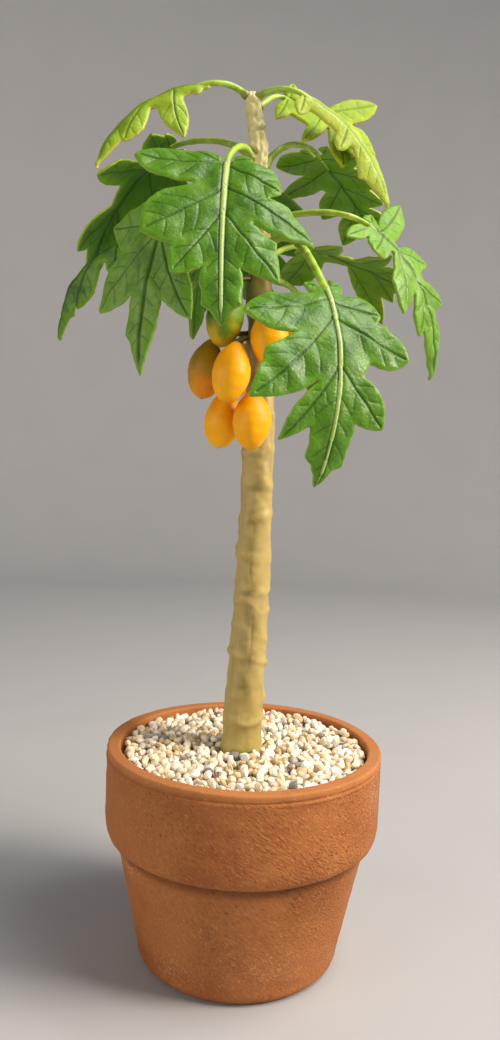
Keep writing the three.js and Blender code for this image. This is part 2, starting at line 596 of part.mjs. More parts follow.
addPart('pot', makePot(), 0xb5633a, 0.9);
addPart('gravel_bed', makeGravel(), 0xcfc3ae, 0.85);
addPart('trunk', makeTrunk(), 0xa89a62, 0.6);
for (const [name, leaf] of Object.entries(LEAVES)) {
  addPart(`${name}_blade`, makeBlade(leaf), 0x3f7f2a, 0.4);
  addPart(`${name}_stalk`, makeStalk(leaf), 0x8fae3a, 0.45);
}
for (const [name, fruit] of Object.entries(FRUIT)) {
  const color = new THREE.Color(0x8a9a2e).lerp(new THREE.Color(0xf29a1c), fruit.ripe);
  addPart(name, makeFruit(fruit), color, 0.35);
}

export default group;
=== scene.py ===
"""A small model papaya tree in a clay pot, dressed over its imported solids.

Sizes are in millimetres and angles in degrees until a mesh is made, where they turn to metres.
"""

from __future__ import annotations

import logging
import math
from dataclasses import dataclass, field
from enum import Enum
from typing import Any, Sequence

import bmesh
import bpy
import numpy as np
from mathutils import Matrix, Vector, geometry, kdtree

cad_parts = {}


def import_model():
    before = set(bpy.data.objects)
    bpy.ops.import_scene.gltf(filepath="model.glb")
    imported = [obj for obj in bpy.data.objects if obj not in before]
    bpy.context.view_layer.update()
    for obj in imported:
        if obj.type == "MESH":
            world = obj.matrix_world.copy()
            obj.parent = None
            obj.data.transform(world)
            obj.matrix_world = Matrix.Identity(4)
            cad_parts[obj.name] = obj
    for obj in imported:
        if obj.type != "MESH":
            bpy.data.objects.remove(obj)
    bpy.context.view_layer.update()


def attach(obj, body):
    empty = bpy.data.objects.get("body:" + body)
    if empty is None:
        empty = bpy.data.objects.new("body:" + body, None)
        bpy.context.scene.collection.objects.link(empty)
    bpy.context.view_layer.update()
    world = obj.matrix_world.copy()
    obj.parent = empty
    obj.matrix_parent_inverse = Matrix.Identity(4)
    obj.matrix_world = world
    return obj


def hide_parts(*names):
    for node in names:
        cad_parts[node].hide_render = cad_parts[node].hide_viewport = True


LOG = logging.getLogger("papaya")
MM = 0.001
WAVE_COUNT = 9
ROUND_SIDES = 96
Pairs = Sequence[tuple[float, float]]
Mesh = tuple[np.ndarray, list[list[int]]]
Cues = dict[str, bpy.types.NodeSocket]


# Small helpers for numbers and shapes


def linear(colour: str) -> tuple[float, float, float, float]:
    """Turns an sRGB hex colour to linear light.

    Args:
        colour: Six hex digits after a hash sign.

    Returns:
        Red, green, blue and full opacity.
    """
    parts = [int(colour[i:i + 2], 16) / 255 for i in (1, 3, 5)]
    light = [c / 12.92 if c <= 0.04045 else ((c + 0.055) / 1.055) ** 2.4 for c in parts]
    return (*light, 1.0)


def per_metre(size: float) -> float:
    """Texture scale whose features are about this many millimetres across."""
    return 1.0 / (size * MM)


def smooth(x: np.ndarray, low: float, high: float) -> np.ndarray:
    """Smooth step from 0 at low to 1 at high."""
    u = np.clip((x - low) / (high - low), 0.0, 1.0)
    return u * u * (3.0 - 2.0 * u)


def between(x: np.ndarray, start: float, full: float, last: float, end: float) -> np.ndarray:
    """Smooth rise from 0 at start to 1 at full, and fall from 1 at last to 0 at end."""
    return smooth(x, start, full) * (1.0 - smooth(x, last, end))


def bell(x: np.ndarray, width: float) -> np.ndarray:
    """Bell curve that is 1 at 0 and about a third at the width."""
    return np.exp(-((x / width) ** 2))


def full_turn(sides: int) -> np.ndarray:
    """Angles all the way round, one for each side."""
    return np.linspace(0.0, 2.0 * math.pi, sides, endpoint=False)


def along(pairs: Pairs, x: np.ndarray) -> np.ndarray:
    """Reads a smooth line through (x, value) pairs.

    Args:
        pairs: The places and their values, in order.
        x: Where to read the line.

    Returns:
        The values, held level before the first pair and after the last one.
    """
    keys, values = np.array(pairs, float).T
    x = np.asarray(x, float)
    i = np.clip(np.searchsorted(keys, x), 1, len(keys) - 1)
    u = np.clip((x - keys[i - 1]) / (keys[i] - keys[i - 1]), 0.0, 1.0)
    return values[i - 1] + (values[i] - values[i - 1]) * u * u * (3.0 - 2.0 * u)


def waves(points: np.ndarray, size: float, seed: int) -> np.ndarray:
    """Seeded smooth unevenness, made of plane waves in many directions.

    Args:
        points: Places, one row each, in millimetres.
        size: Distance from one lump to the next, in millimetres.
        seed: Picks the pattern.

    Returns:
        One value for each place, mostly between -1 and 1.
    """
    rng = np.random.default_rng(seed)
    ways = unit(rng.normal(size=(WAVE_COUNT, points.shape[1])))
    ways *= rng.uniform(0.7, 1.5, (WAVE_COUNT, 1)) * 2.0 * math.pi / size
    phases = rng.uniform(0.0, 2.0 * math.pi, WAVE_COUNT)
    return np.sin(points @ ways.T + phases).sum(1) / math.sqrt(WAVE_COUNT)


def unit(v: np.ndarray) -> np.ndarray:
    """Rows of a matrix, or one vector, made one long."""
    return v / np.linalg.norm(v, axis=-1, keepdims=True)


def resampled(points: np.ndarray, step: float, closed: bool) -> np.ndarray:
    """Spaces points evenly along a line.

    Args:
        points: The line's points, one row each.
        step: Distance between the new points.
        closed: Whether the line comes back to its start.

    Returns:
        The new points.
    """
    line = np.vstack([points, points[:1]]) if closed else points
    lengths = np.concatenate([[0.0], np.cumsum(np.linalg.norm(np.diff(line, axis=0), axis=1))])
    count = max(4, round(lengths[-1] / step))
    places = np.linspace(0.0, lengths[-1], count, endpoint=not closed)
    return np.column_stack([np.interp(places, lengths, column) for column in line.T])


def curved(start: np.ndarray, bend: np.ndarray, end: np.ndarray, count: int) -> np.ndarray:
    """Points on a curve that leaves its start towards the bend and comes to its end from there."""
    t = np.linspace(0.0, 1.0, count)[:, None]
    return (1 - t) ** 2 * start + 2 * t * (1 - t) * bend + t ** 2 * end


def nearest(samples: np.ndarray, points: np.ndarray) -> tuple[np.ndarray, np.ndarray]:
    """Finds each point's nearest sample.

    Args:
        samples: Flat places to look among.
        points: Flat places to look from.

    Returns:
        The distances and the samples' indices.
    """
    tree = kdtree.KDTree(len(samples))
    for i, (x, y) in enumerate(samples):
        tree.insert((x, y, 0.0), i)
    tree.balance()
    found = [tree.find((x, y, 0.0)) for x, y in points]
    return np.array([hit[2] for hit in found]), np.array([hit[1] for hit in found])


def turns_round(outline: np.ndarray, points: np.ndarray) -> np.ndarray:
    """Counts how many times a closed outline goes round each point.

    Args:
        outline: The outline's points, in order.
        points: The places that are asked about.

    Returns:
        The count for each place, 0 outside the outline.
    """
    a, b = outline, np.roll(outline, -1, axis=0)
    counts = []
    for x, y in (part.T[:, :, None] for part in np.array_split(points, max(1, len(points) // 3000))):
        side = (b[:, 0] - a[:, 0]) * (y - a[:, 1]) - (x - a[:, 0]) * (b[:, 1] - a[:, 1])
        rises = (a[:, 1] <= y) & (b[:, 1] > y) & (side > 0)
        falls = (a[:, 1] > y) & (b[:, 1] <= y) & (side < 0)
        counts.append(rises.sum(1) - falls.sum(1))
    return np.concatenate(counts)


def spaced(groups: list[tuple[np.ndarray, float]]) -> np.ndarray:
    """Takes flat points group by group and leaves out those that come too close to one already taken.

    Args:
        groups: Points, and the least distance that each group keeps.

    Returns:
        The points that were taken, in order.
    """
    cell = max(distance for _, distance in groups)
    taken: list[tuple[float, float]] = []
    cells: dict[tuple[int, int], list[tuple[float, float]]] = {}
    for points, distance in groups:
        least = distance * distance
        for x, y in points:
            i, j = math.floor(x / cell), math.floor(y / cell)
            near = (p for di in (-1, 0, 1) for dj in (-1, 0, 1) for p in cells.get((i + di, j + dj), ()))
            if all((x - px) ** 2 + (y - py) ** 2 >= least for px, py in near):
                cells.setdefault((i, j), []).append((x, y))
                taken.append((x, y))
    return np.array(taken)


def triangulated(edge: np.ndarray, points: np.ndarray) -> tuple[np.ndarray, np.ndarray]:
    """Joins flat points to triangles inside an outline.

    Args:
        edge: The outline. The points start with it.
        points: All the points.

    Returns:
        The points that are in use and the triangles, counterclockwise.
    """
    count = len(edge)
    ring = [(i, (i + 1) % count) for i in range(count)]
    found = geometry.delaunay_2d_cdt([Vector(p) for p in points], ring, [], 0, 1e-6)
    flat = np.array([v[:] for v in found[0]])
    triangles = np.array(found[2])
    middles = flat[triangles].mean(1)
    triangles = triangles[turns_round(edge, middles) != 0]
    a, b, c = (flat[triangles[:, k]] for k in range(3))
    area = (b[:, 0] - a[:, 0]) * (c[:, 1] - a[:, 1]) - (b[:, 1] - a[:, 1]) * (c[:, 0] - a[:, 0])
    triangles = np.where((area > 0)[:, None], triangles, triangles[:, ::-1])[np.abs(area) > 1e-5]
    used, triangles = np.unique(triangles, return_inverse=True)
    return flat[used], triangles.reshape(-1, 3)


def lathe(profile: np.ndarray, sides: int) -> Mesh:
    """Turns a closed profile about the Z axis; its two ends lie on the axis.

    Args:
        profile: Rows of radius and height, from one end on the axis to the other.
        sides: Number of sides.

    Returns:
        The points and the faces.
    """
    turn = full_turn(sides)
    rings = [np.column_stack([r * np.cos(turn), r * np.sin(turn), np.full(sides, z)])
             for r, z in profile[1:-1]]
    return capped(rings, np.array([0.0, 0.0, profile[0][1]]), np.array([0.0, 0.0, profile[-1][1]]))


def capped(rings: list[np.ndarray], start: np.ndarray, end: np.ndarray) -> Mesh:
    """Joins rings of points into one closed body with a point at each end.

    Args:
        rings: Rings with the same number of points, counterclockwise about the way they run.
        start: Point that closes the first ring.
        end: Point that closes the last ring.

    Returns:
        The points and the faces.
    """
    sides = len(rings[0])
    points = np.vstack([*rings, start, end])
    first, last = len(points) - 2, len(points) - 1
    faces = []
    for i in range(len(rings) - 1):
        for j in range(sides):
            a, b = i * sides + j, i * sides + (j + 1) % sides
            faces.append([a, b, b + sides, a + sides])
    top = (len(rings) - 1) * sides
    for j in range(sides):
        k = (j + 1) % sides
        faces.append([first, k, j])
        faces.append([last, top + j, top + k])
    return points, faces


def tube(centres: np.ndarray, radii: np.ndarray, sides: int) -> Mesh:
    """Sweeps a round section along a line and closes its ends with low domes.

    Args:
        centres: The line's points.
        radii: The section's radius at each point.
        sides: Number of sides.

    Returns:
        The points and the faces.
    """
    ways = unit(np.gradient(centres, axis=0))
    side = unit(np.cross(ways[0], [0.3, 0.1, 1.0]))
    turn = full_turn(sides)[:, None]
    rings = []
    for centre, way, radius in zip(centres, ways, radii):
        side = unit(side - way * (side @ way))
        rings.append(centre + radius * (np.cos(turn) * side + np.sin(turn) * np.cross(way, side)))
    return capped(rings, centres[0] - ways[0] * radii[0] * 0.3, centres[-1] + ways[-1] * radii[-1] * 0.6)


# Blender's side: nodes, finishes and pieces


def pick(sockets: Any, key: str | int) -> bpy.types.NodeSocket:
    """Finds a socket by its index, its identifier or its name."""
    if isinstance(key, int):
        return sockets[key]
    return next((s for s in sockets if s.identifier == key), None) or sockets[key]


def add_node(tree: bpy.types.NodeTree, kind: str, inputs: dict[str | int, Any] | None = None,
             out: str | int = 0, **settings: Any) -> bpy.types.NodeSocket | None:
    """Adds a node with its settings and links.

    Args:
        tree: The node tree.
        kind: The node's type, without its ShaderNode prefix.
        inputs: Values, hex colours or other nodes' sockets for its inputs.
        out: The output that is asked for.
        **settings: Properties of the node.

    Returns:
        That output, or None where the node has no outputs.
    """
    node = tree.nodes.new("ShaderNode" + kind)
    for name, value in settings.items():
        setattr(node, name, value)
    for key, value in (inputs or {}).items():
        socket = pick(node.inputs, key)
        if isinstance(value, bpy.types.NodeSocket):
            tree.links.new(value, socket)
        else:
            socket.default_value = linear(value) if isinstance(value, str) else value
    return pick(node.outputs, out) if len(node.outputs) else None


def put(name: str, data: bpy.types.ID) -> bpy.types.Object:
    """Puts a mesh, a camera or a lamp in the scene as a new object."""
    made = bpy.data.objects.new(name, data)
    bpy.context.scene.collection.objects.link(made)
    return made


def piece(name: str, points: np.ndarray, faces: Sequence[Sequence[int]], material: bpy.types.Material,
          stands_for: Sequence[str] = (), marks: dict[str, np.ndarray] | None = None
          ) -> bpy.types.Object:
    """Makes one piece of the tree and lets it ride on the root body.

    Args:
        name: The piece's name.
        points: Its points, in millimetres.
        faces: Its faces.
        material: Its material.
        stands_for: The solids that it replaces.
        marks: Named values at the points, or colours, that the material reads.

    Returns:
        The object.
    """
    mesh = bpy.data.meshes.new(name)
    mesh.from_pydata((points * MM).tolist(), [], [list(map(int, face)) for face in faces])
    for mark, values in (marks or {}).items():
        kind, key = ("FLOAT_COLOR", "color") if values.ndim == 2 else ("FLOAT", "value")
        mesh.attributes.new(mark, kind, "POINT").data.foreach_set(key, values.astype(np.float32).ravel())
    mesh.materials.append(material)
    mesh.update()
    mesh.shade_smooth()
    made = put(name, mesh)
    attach(made, "root")
    if stands_for:
        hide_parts(*stands_for)
    LOG.info("%s: %d points, %d faces", name, len(points), len(faces))
    return made


@dataclass(frozen=True)
class Finish:
    """A finish: one Principled shader with colours laid over a ground colour, and fine relief.

    Cues steer both. They are noises, for which NOISES gives a size in millimetres and a detail, and MARKS,
    which the mesh carries. Each of the LAYERS names its cue and its colour. Where three numbers follow, the
    colour begins where the cue has the first, is full where it has the second and covers by the third at
    most, and a last cue masks it. RELIEF gives cues and how many millimetres they stand. SHADER holds the
    shader's uniform values.
    """

    GROUND = ""
    SHADER = {}
    NOISES = {}
    MARKS = ()
    LAYERS = ()
    RELIEF = ()

    name: str

    def add_cues(self, tree: bpy.types.NodeTree, cues: Cues) -> None:
        """Adds cues that only this finish has; one named rough becomes its roughness.

        Args:
            tree: The node tree.
            cues: The cues so far, and the place on the object.
        """

    def colour(self, tree: bpy.types.NodeTree, cues: Cues) -> Any:
        """Lays the colours over the ground.

        Args:
            tree: The node tree.
            cues: All the cues.

        Returns:
            The socket that gives the colour.
        """
        below = cues.get(self.GROUND) or getattr(self, self.GROUND)
        for cue, colour, *window in self.LAYERS:
            cover = cues[cue]
            if window:
                low, high, most, *masks = window
                ranges = {"Value": cover, "From Min": low, "From Max": high, "To Max": most}
                cover = add_node(tree, "MapRange", ranges, interpolation_type="SMOOTHSTEP")
                for mask in masks:
                    cover = add_node(tree, "Math", {0: cover, 1: cues[mask]}, operation="MULTIPLY")
            mixed = {"Factor_Float": cover, "A_Color": below, "B_Color": getattr(self, colour)}
            below = add_node(tree, "Mix", mixed, "Result_Color", data_type="RGBA")
        return below

    def build(self) -> bpy.types.Material:
        """Wires the material.

        Returns:
            The material.
        """
        material = bpy.data.materials.new(self.name)
        material.use_nodes = True
        tree = material.node_tree
        tree.nodes.clear()
        place = add_node(tree, "TexCoord", out="Object")
        cues = {"place": place}
        for mark in self.MARKS:
            cues[mark] = add_node(tree, "Attribute", out="Fac", attribute_name=mark)
        for noise, (size, detail) in self.NOISES.items():
            cues[noise] = add_node(tree, "TexNoise", {"Vector": place, "Scale": per_metre(size),
                                                      "Detail": detail})
        self.add_cues(tree, cues)
        inputs = {**self.SHADER, "Base Color": self.colour(tree, cues)}
        if "rough" in cues:
            inputs["Roughness"] = cues["rough"]
        for height, depth in self.RELIEF:
            below = {"Normal": inputs["Normal"]} if "Normal" in inputs else {}
            inputs["Normal"] = add_node(tree, "Bump", {"Height": cues[height], "Distance": depth * MM,
                                                       "Strength": 1.0, **below})
        add_node(tree, "OutputMaterial", {"Surface": add_node(tree, "BsdfPrincipled", inputs)})
        return material


@dataclass(frozen=True)
class Terracotta(Finish):
    """Terracotta: red clay thrown on a wheel, wiped with a rough cloth and fired without glaze.

    It looks dull and warm, with short drag marks and pits, a paler lip and chalky bloom in patches.
    Its grit is drawn coarser than it is, so that it shows.
    """

    GROUND = "clay"
    SHADER = {"IOR": 1.5, "Specular IOR Level": 0.25}
    NOISES = {"clouds": (30.0, 5.0), "grains": (0.9, 3.0)}
    MARKS = ("dragged", "lip", "collar_shadow", "bloom")
    # The last layer is a painted shadow below the collar, in the pits' dark colour
    LAYERS = (("clouds", "burnt", 0.6, 0.3, 0.8), ("drags", "pale", 0.52, 0.7, 0.5),
              ("clouds", "chalk", 0.66, 0.8, 0.5), ("lip", "pale"), ("grains", "chalk", 0.69, 0.75, 0.8),
              ("grains", "chalk", 0.5, 0.66, 1.0, "bloom"), ("drags", "pit_and_shadow", 0.43, 0.3, 0.6, "dragged"),
              ("collar_shadow", "pit_and_shadow"))
    RELIEF = (("torn", 0.8), ("grains", 0.2))

    name: str = "fired_terracotta"
    clay: str = "#A86838"
    burnt: str = "#95552B"
    pale: str = "#C58650"
    pit_and_shadow: str = "#54290F"
    chalk: str = "#D2A888"
    drag: float = 0.85
    swing: float = 0.006
    swing_size: float = 26.0
    slant: tuple[float, float, float] = (0.5, 0.62, 0.25)
    stretch: tuple[float, float, float] = (3.2, 1.0, 1.0)

    def add_cues(self, tree: bpy.types.NodeTree, cues: Cues) -> None:
        """Adds the cloth's drag marks along slanted lines that swing.

        Args:
            tree: The node tree.
            cues: Gains drags, torn and rough.
        """
        bent = add_node(tree, "TexNoise", {"Vector": cues["place"], "Scale": per_metre(self.swing_size)},
                        "Color")
        swung = add_node(tree, "Mix", {"Factor_Float": self.swing, "A_Vector": cues["place"],
                                       "B_Vector": bent}, "Result_Vector", data_type="VECTOR")
        slanted = add_node(tree, "Mapping", {"Vector": swung, "Rotation": self.slant,
                                             "Scale": self.stretch}, vector_type="TEXTURE")
        drags = add_node(tree, "TexNoise", {"Vector": slanted, "Scale": per_metre(self.drag),
                                            "Detail": 3.0, "Roughness": 0.55})
        cues["drags"] = drags
        cues["torn"] = add_node(tree, "Math", {0: drags, 1: cues["dragged"]}, operation="MULTIPLY")
        cues["rough"] = add_node(tree, "MapRange", {"Value": drags, "From Min": 0.3, "From Max": 0.7,
                                                    "To Min": 0.62, "To Max": 0.86},
                                 interpolation_type="SMOOTHSTEP")


@dataclass(frozen=True)
class CrushedStone(Finish):
    """Crushed quartz and limestone: sieved gravel, tumbled only a little.

    Each grain has its own cream, white, tan or grey tint, a dull skin and a few darker veins. The skin is
    drawn coarser than it is, so that it shows.
    """

    GROUND = "tint"
    SHADER = {"IOR": 1.54, "Roughness": 0.62}
    NOISES = {"veins": (1.8, 5.0), "skin": (0.5, 3.0)}
    LAYERS = (("veins", "stain", 0.62, 0.8, 0.45),)
    RELIEF = (("skin", 0.12),)

    name: str = "crushed_stone"
    stain: str = "#8B7355"

    def add_cues(self, tree: bpy.types.NodeTree, cues: Cues) -> None:
        """Adds the grains' own tints."""
        cues["tint"] = add_node(tree, "Attribute", out="Color", attribute_name="tint")


@dataclass(frozen=True)
class PaintedBark(Finish):
    """Polymer clay: rolled and pinched into scars by hand, then brushed with thin paint.

    It looks satin and khaki, with dark paint left in the hollows and in long streaks, painted shade among
    the fruit stems, and paler at the top.
    """

    GROUND = "khaki"
    SHADER = {"IOR": 1.5, "Roughness": 0.48}
    NOISES = {"clouds": (7.0, 4.0)}
    MARKS = ("hollow_and_shade", "crest", "top", "foot", "seam")
    # The hollows' dark paint and the painted shade among the fruit stems share the last layer
    LAYERS = (("clouds", "light", 0.45, 0.7, 0.5), ("foot", "moss"), ("streaks", "streak", 0.5, 0.7, 0.6),
              ("crest", "light"), ("top", "cream"), ("clouds", "shade", 0.3, 0.62, 1.0, "seam"),
              ("hollow_and_shade", "shade"))
    RELIEF = (("streaks", 0.14), ("fibre", 0.05), ("clouds", 0.25))
    DRAWN = {"streaks": (3.4, 5.0, 0.4), "fibre": (0.8, 3.0, 0.0)}

    name: str = "painted_clay_bark"
    khaki: str = "#B39C5A"
    shade: str = "#75682F"
    cream: str = "#D6CE8E"
    moss: str = "#A8974E"
    streak: str = "#958552"
    light: str = "#C1AA62"
    flattened: float = 0.09

    def add_cues(self, tree: bpy.types.NodeTree, cues: Cues) -> None:
        """Adds streaks and fibres, drawn out along the trunk.

        Args:
            tree: The node tree.
            cues: Gains streaks and fibre.
        """
        drawn = add_node(tree, "Mapping", {"Vector": cues["place"], "Scale": (1.0, 1.0, self.flattened)})
        for noise, (size, detail, bent) in self.DRAWN.items():
            cues[noise] = add_node(tree, "TexNoise", {"Vector": drawn, "Scale": per_metre(size),
                                                      "Detail": detail, "Distortion": bent})


@dataclass(frozen=True)
class MouldedLeaf(Finish):
    """Polymer clay: rolled thin, pressed in a veined leaf mould and brushed with satin varnish.

    The pebbled face breaks the highlights into specks, painted shade darkens the veins and the grooves by
    the midrib, and the thin rim is lighter.
    """

    GROUND = "face"
    SHADER = {"IOR": 1.5, "Specular IOR Level": 0.34}
    NOISES = {"clouds": (9.0, 4.0), "folds": (3.2, 2.0)}
    MARKS = ("under", "margin", "vein", "ridge", "rim")
    LAYERS = (("clouds", "deep", 0.55, 0.32, 0.9), ("clouds", "pale", 0.56, 0.75, 0.7),
              ("pebbles", "pale", 0.58, 0.74, 0.3), *zip(MARKS, MARKS))
    RELIEF = (("folds", 0.22), ("cells", -0.11), ("pebbles", 0.11))

    face: str
    deep: str
    pale: str
    vein: str
    ridge: str
    rim: str
    margin: str
    under: str
    gloss: float
    pebble: float = 0.9

    def add_cues(self, tree: bpy.types.NodeTree, cues: Cues) -> None:
        """Adds the pebbled face.

        Args:
            tree: The node tree.
            cues: Gains pebbles, cells and rough.
        """
        pebbles = add_node(tree, "TexNoise", {"Vector": cues["place"], "Scale": per_metre(self.pebble),
                                              "Detail": 2.0, "Roughness": 0.55})
        cues["pebbles"] = pebbles
        cues["cells"] = add_node(tree, "TexVoronoi", {"Vector": cues["place"],
                                                      "Scale": per_metre(self.pebble * 1.5)},
                                 feature="SMOOTH_F1")
        cues["rough"] = add_node(tree, "MapRange", {"Value": pebbles, "From Min": 0.3, "From Max": 0.7,
                                                    "To Min": self.gloss - 0.06, "To Max": self.gloss + 0.1},
                                 interpolation_type="SMOOTHSTEP")


@dataclass(frozen=True)
class RolledStalk(Finish):
    """Polymer clay: rolled into a cord between the fingers and wiped smooth before baking.

    It looks satin and yellow-green, a little darker and browner at the trunk.
    """

    GROUND = "green"
    SHADER = {"IOR": 1.5, "Roughness": 0.4}
    NOISES = {"clouds": (6.0, 4.0), "skin": (1.1, 2.0)}
    MARKS = ("root",)
    LAYERS = (("clouds", "deep", 0.5, 0.3, 1.0), ("clouds", "light", 0.54, 0.72, 1.0), ("root", "root"))
    RELIEF = (("skin", 0.06),)

    name: str = "rolled_clay_stalk"
    green: str = "#9DBC3C"
    deep: str = "#7C9C22"
    light: str = "#C2D669"
    root: str = "#7C7838"


@dataclass(frozen=True)
class FruitSkin(Finish):
    """Polymer clay: modelled by hand, shaded with soft pastel before baking and varnished satin.

    The colour drifts from the crown to the end, and the skin is smooth with faint creases.
    """

    GROUND = "flesh"
    SHADER = {"IOR": 1.45, "Roughness": 0.42, "Specular IOR Level": 0.3}
    NOISES = {"clouds": (8.0, 4.0), "skin": (1.3, 3.0)}
    MARKS = ("crown", "tip", "stem", "crease")
    LAYERS = (("clouds", "blush", 0.42, 0.7, 0.6), ("clouds", "shade", 0.45, 0.3, 0.4),
              ("drift", "crown", 1.05, 1.5, 1.0), ("crease", "shade"), ("tip", "shade"), ("stem", "stem"))
    RELIEF = (("skin", 0.05),)

    flesh: str
    blush: str
    shade: str
    crown: str
    crown_share: float
    stem: str = "#4E4A20"

    def add_cues(self, tree: bpy.types.NodeTree, cues: Cues) -> None:
        """Adds how far the crown's colour runs down unevenly."""
        drift = add_node(tree, "Math", {0: cues["crown"], 1: cues["clouds"]}, operation="ADD")
        cues["drift"] = add_node(tree, "Math", {0: drift, 1: self.crown_share}, operation="ADD")


@dataclass(frozen=True)
class Plaster(Finish):
    """Plaster: a matt sheet behind and under the object, pale enough to show its shadow."""

    GROUND = "tone"
    SHADER = {"IOR": 1.45, "Roughness": 0.85}
    NOISES = {"clouds": (90.0, 3.0)}
    LAYERS = (("clouds", "cloud", 0.4, 0.8, 0.25),)

    name: str = "pale_plaster"
    tone: str = "#B0B0B3"
    cloud: str = "#A6A6A9"


# Pot and gravel


@dataclass
class Pot:
    """The clay pot: a tapering body under a straight collar with a rolled lip.

    Each of the blooms has its heading and height, how wide and how tall it is, and its strength. The painted
    shadow below the collar starts, is full, fades and ends at four heights from the collar's foot.
    """

    height: float = 98.7
    rim_radius: float = 62.5
    wall: float = 6.0
    floor: float = 7.0
    foot_radius: float = 46.8
    foot_round: float = 5.5
    collar_bottom: float = 58.0
    neck_radius: float = 58.0
    groove_height: float = 95.3
    groove_depth: float = 0.6
    unevenness: float = 0.22
    # Heights of the painted shadow below the collar
    collar_shadow: tuple[float, ...] = (-6.5, -2.0, -0.3, 0.8)
    blooms: tuple[tuple[float, float, float, float, float], ...] = (
        (-150.0, 52.0, 14.0, 4.5, 1.0), (-22.0, 88.0, 8.0, 9.0, 1.0), (-124.0, 12.0, 12.0, 7.0, 0.4),
        (-72.0, 18.0, 18.0, 9.0, 0.45), (-95.0, 30.0, 26.0, 16.0, 0.18), (35.0, 50.0, 14.0, 6.0, 0.8),
        (120.0, 20.0, 18.0, 9.0, 0.5))
    sides: int = 288

    @property
    def inner_radius(self) -> float:
        """Inner radius at the mouth."""
        return self.rim_radius - self.wall

    def profile(self) -> np.ndarray:
        """Draws the profile of the pot's floor and wall.

        Returns:
            Rows of radius and height: from the middle of the foot, up the outside and down to the floor.
        """
        turn = np.linspace(0.0, 0.5 * math.pi, 9)
        r, z = self.foot_radius, self.foot_round
        foot = np.column_stack([r - z + z * np.sin(turn) - 0.35, z - z * np.cos(turn)])
        rim, inner, neck, low = self.rim_radius, self.inner_radius, self.neck_radius, self.collar_bottom
        high, groove = self.height, self.groove_height
        body = np.vstack([[[6.0, 0.0]], foot, [[neck - 1.0, low - 2.2]]])
        collar = np.array([
            [neck - 1.0, low - 2.2], [neck - 0.9, low - 0.7], [neck, low], [rim - 2.9, low + 0.3],
            [rim - 1.5, low + 1.5], [rim - 0.6, low + 3.6], [rim - 0.12, low + 6.6], [rim, low + 9.0],
            [rim, groove - 3.0]])
        lip = np.array([
            [rim, groove - 3.0], [rim, high - 1.0], [rim - 0.12, high - 0.5], [rim - 0.45, high - 0.12],
            [rim - 1.0, high], [inner + 1.1, high], [inner + 0.4, high - 0.2], [inner + 0.1, high - 0.8],
            [inner, high - 2.0]])
        inside = np.array([[inner, high - 2.0], [inner - 2.0, low],
                           [self.foot_radius - self.wall + 1.0, self.floor], [6.0, self.floor]])
        parts = [resampled(line, step, closed=False) for line, step in
                 ((body, 1.1), (collar, 0.6), (lip, 0.26), (inside, 4.0))]
        line = np.vstack([parts[0], *(part[1:] for part in parts[1:])])
        return np.vstack([[[0.0, 0.0]], line, [[0.0, self.floor]]])

    def build(self) -> None:
        """Makes the pot with its hand-made unevenness, the groove under the lip and its wiped collar."""
        points, faces = lathe(self.profile(), self.sides)
        radius = np.hypot(points[:, 0], points[:, 1])
        z = points[:, 2]
        outward = points[:, :2] / np.maximum(radius, 1e-6)[:, None]
        outside = smooth(radius, self.foot_radius - self.wall, self.foot_radius - 1.0)
        around = np.column_stack([outward * 40.0, z * 0.5])
        wobble = self.unevenness * waves(around, 46.0, 3) + 0.1 * waves(points, 9.0, 4)
        # Unevenness all over, and the groove with a bead below it on the rim
        groove = bell(z - self.groove_height, 0.45) * (0.75 + 0.35 * waves(around, 60.0, 5))
        bead = 0.6 * bell(z - self.groove_height + 1.2, 0.5)
        on_rim = smooth(radius, self.rim_radius - 2.0, self.rim_radius - 0.5)
        shift = outside * wobble + on_rim * self.groove_depth * (bead - groove)
        points[:, :2] += outward * (np.minimum(shift, 0.3) * smooth(z, 1.0, 8.0))[:, None]
        # Marks that steer the finish, among them a painted shadow below the collar's overhang
        lip = smooth(z, self.groove_height + 0.4, self.height - 1.0) * 0.4
        front = 0.75 + 0.4 * waves(around, 34.0, 6) + 0.35 * outward[:, 0] - 0.25 * smooth(-z, -50.0, -20.0)
        wiped = 1.0 - smooth(z, self.groove_height - 1.0, self.groove_height + 1.5)
        collar_shadow = 0.6 * between(z - self.collar_bottom, *self.collar_shadow)
        bloom = np.zeros_like(z)
        for heading, height, wide, tall, strength in self.blooms:
            off = np.angle(np.exp(1j * (np.arctan2(points[:, 1], points[:, 0]) - math.radians(heading))))
            bloom += strength * bell(off * self.rim_radius, wide) * bell(z - height, tall)
        marks = {"lip": lip, "dragged": np.clip(front, 0.25, 1.15) * wiped, "collar_shadow": collar_shadow * outside,
                 "bloom": np.minimum(bloom, 1.0)}
        piece("clay_pot", points, faces, Terracotta().build(), ["pot"], marks)


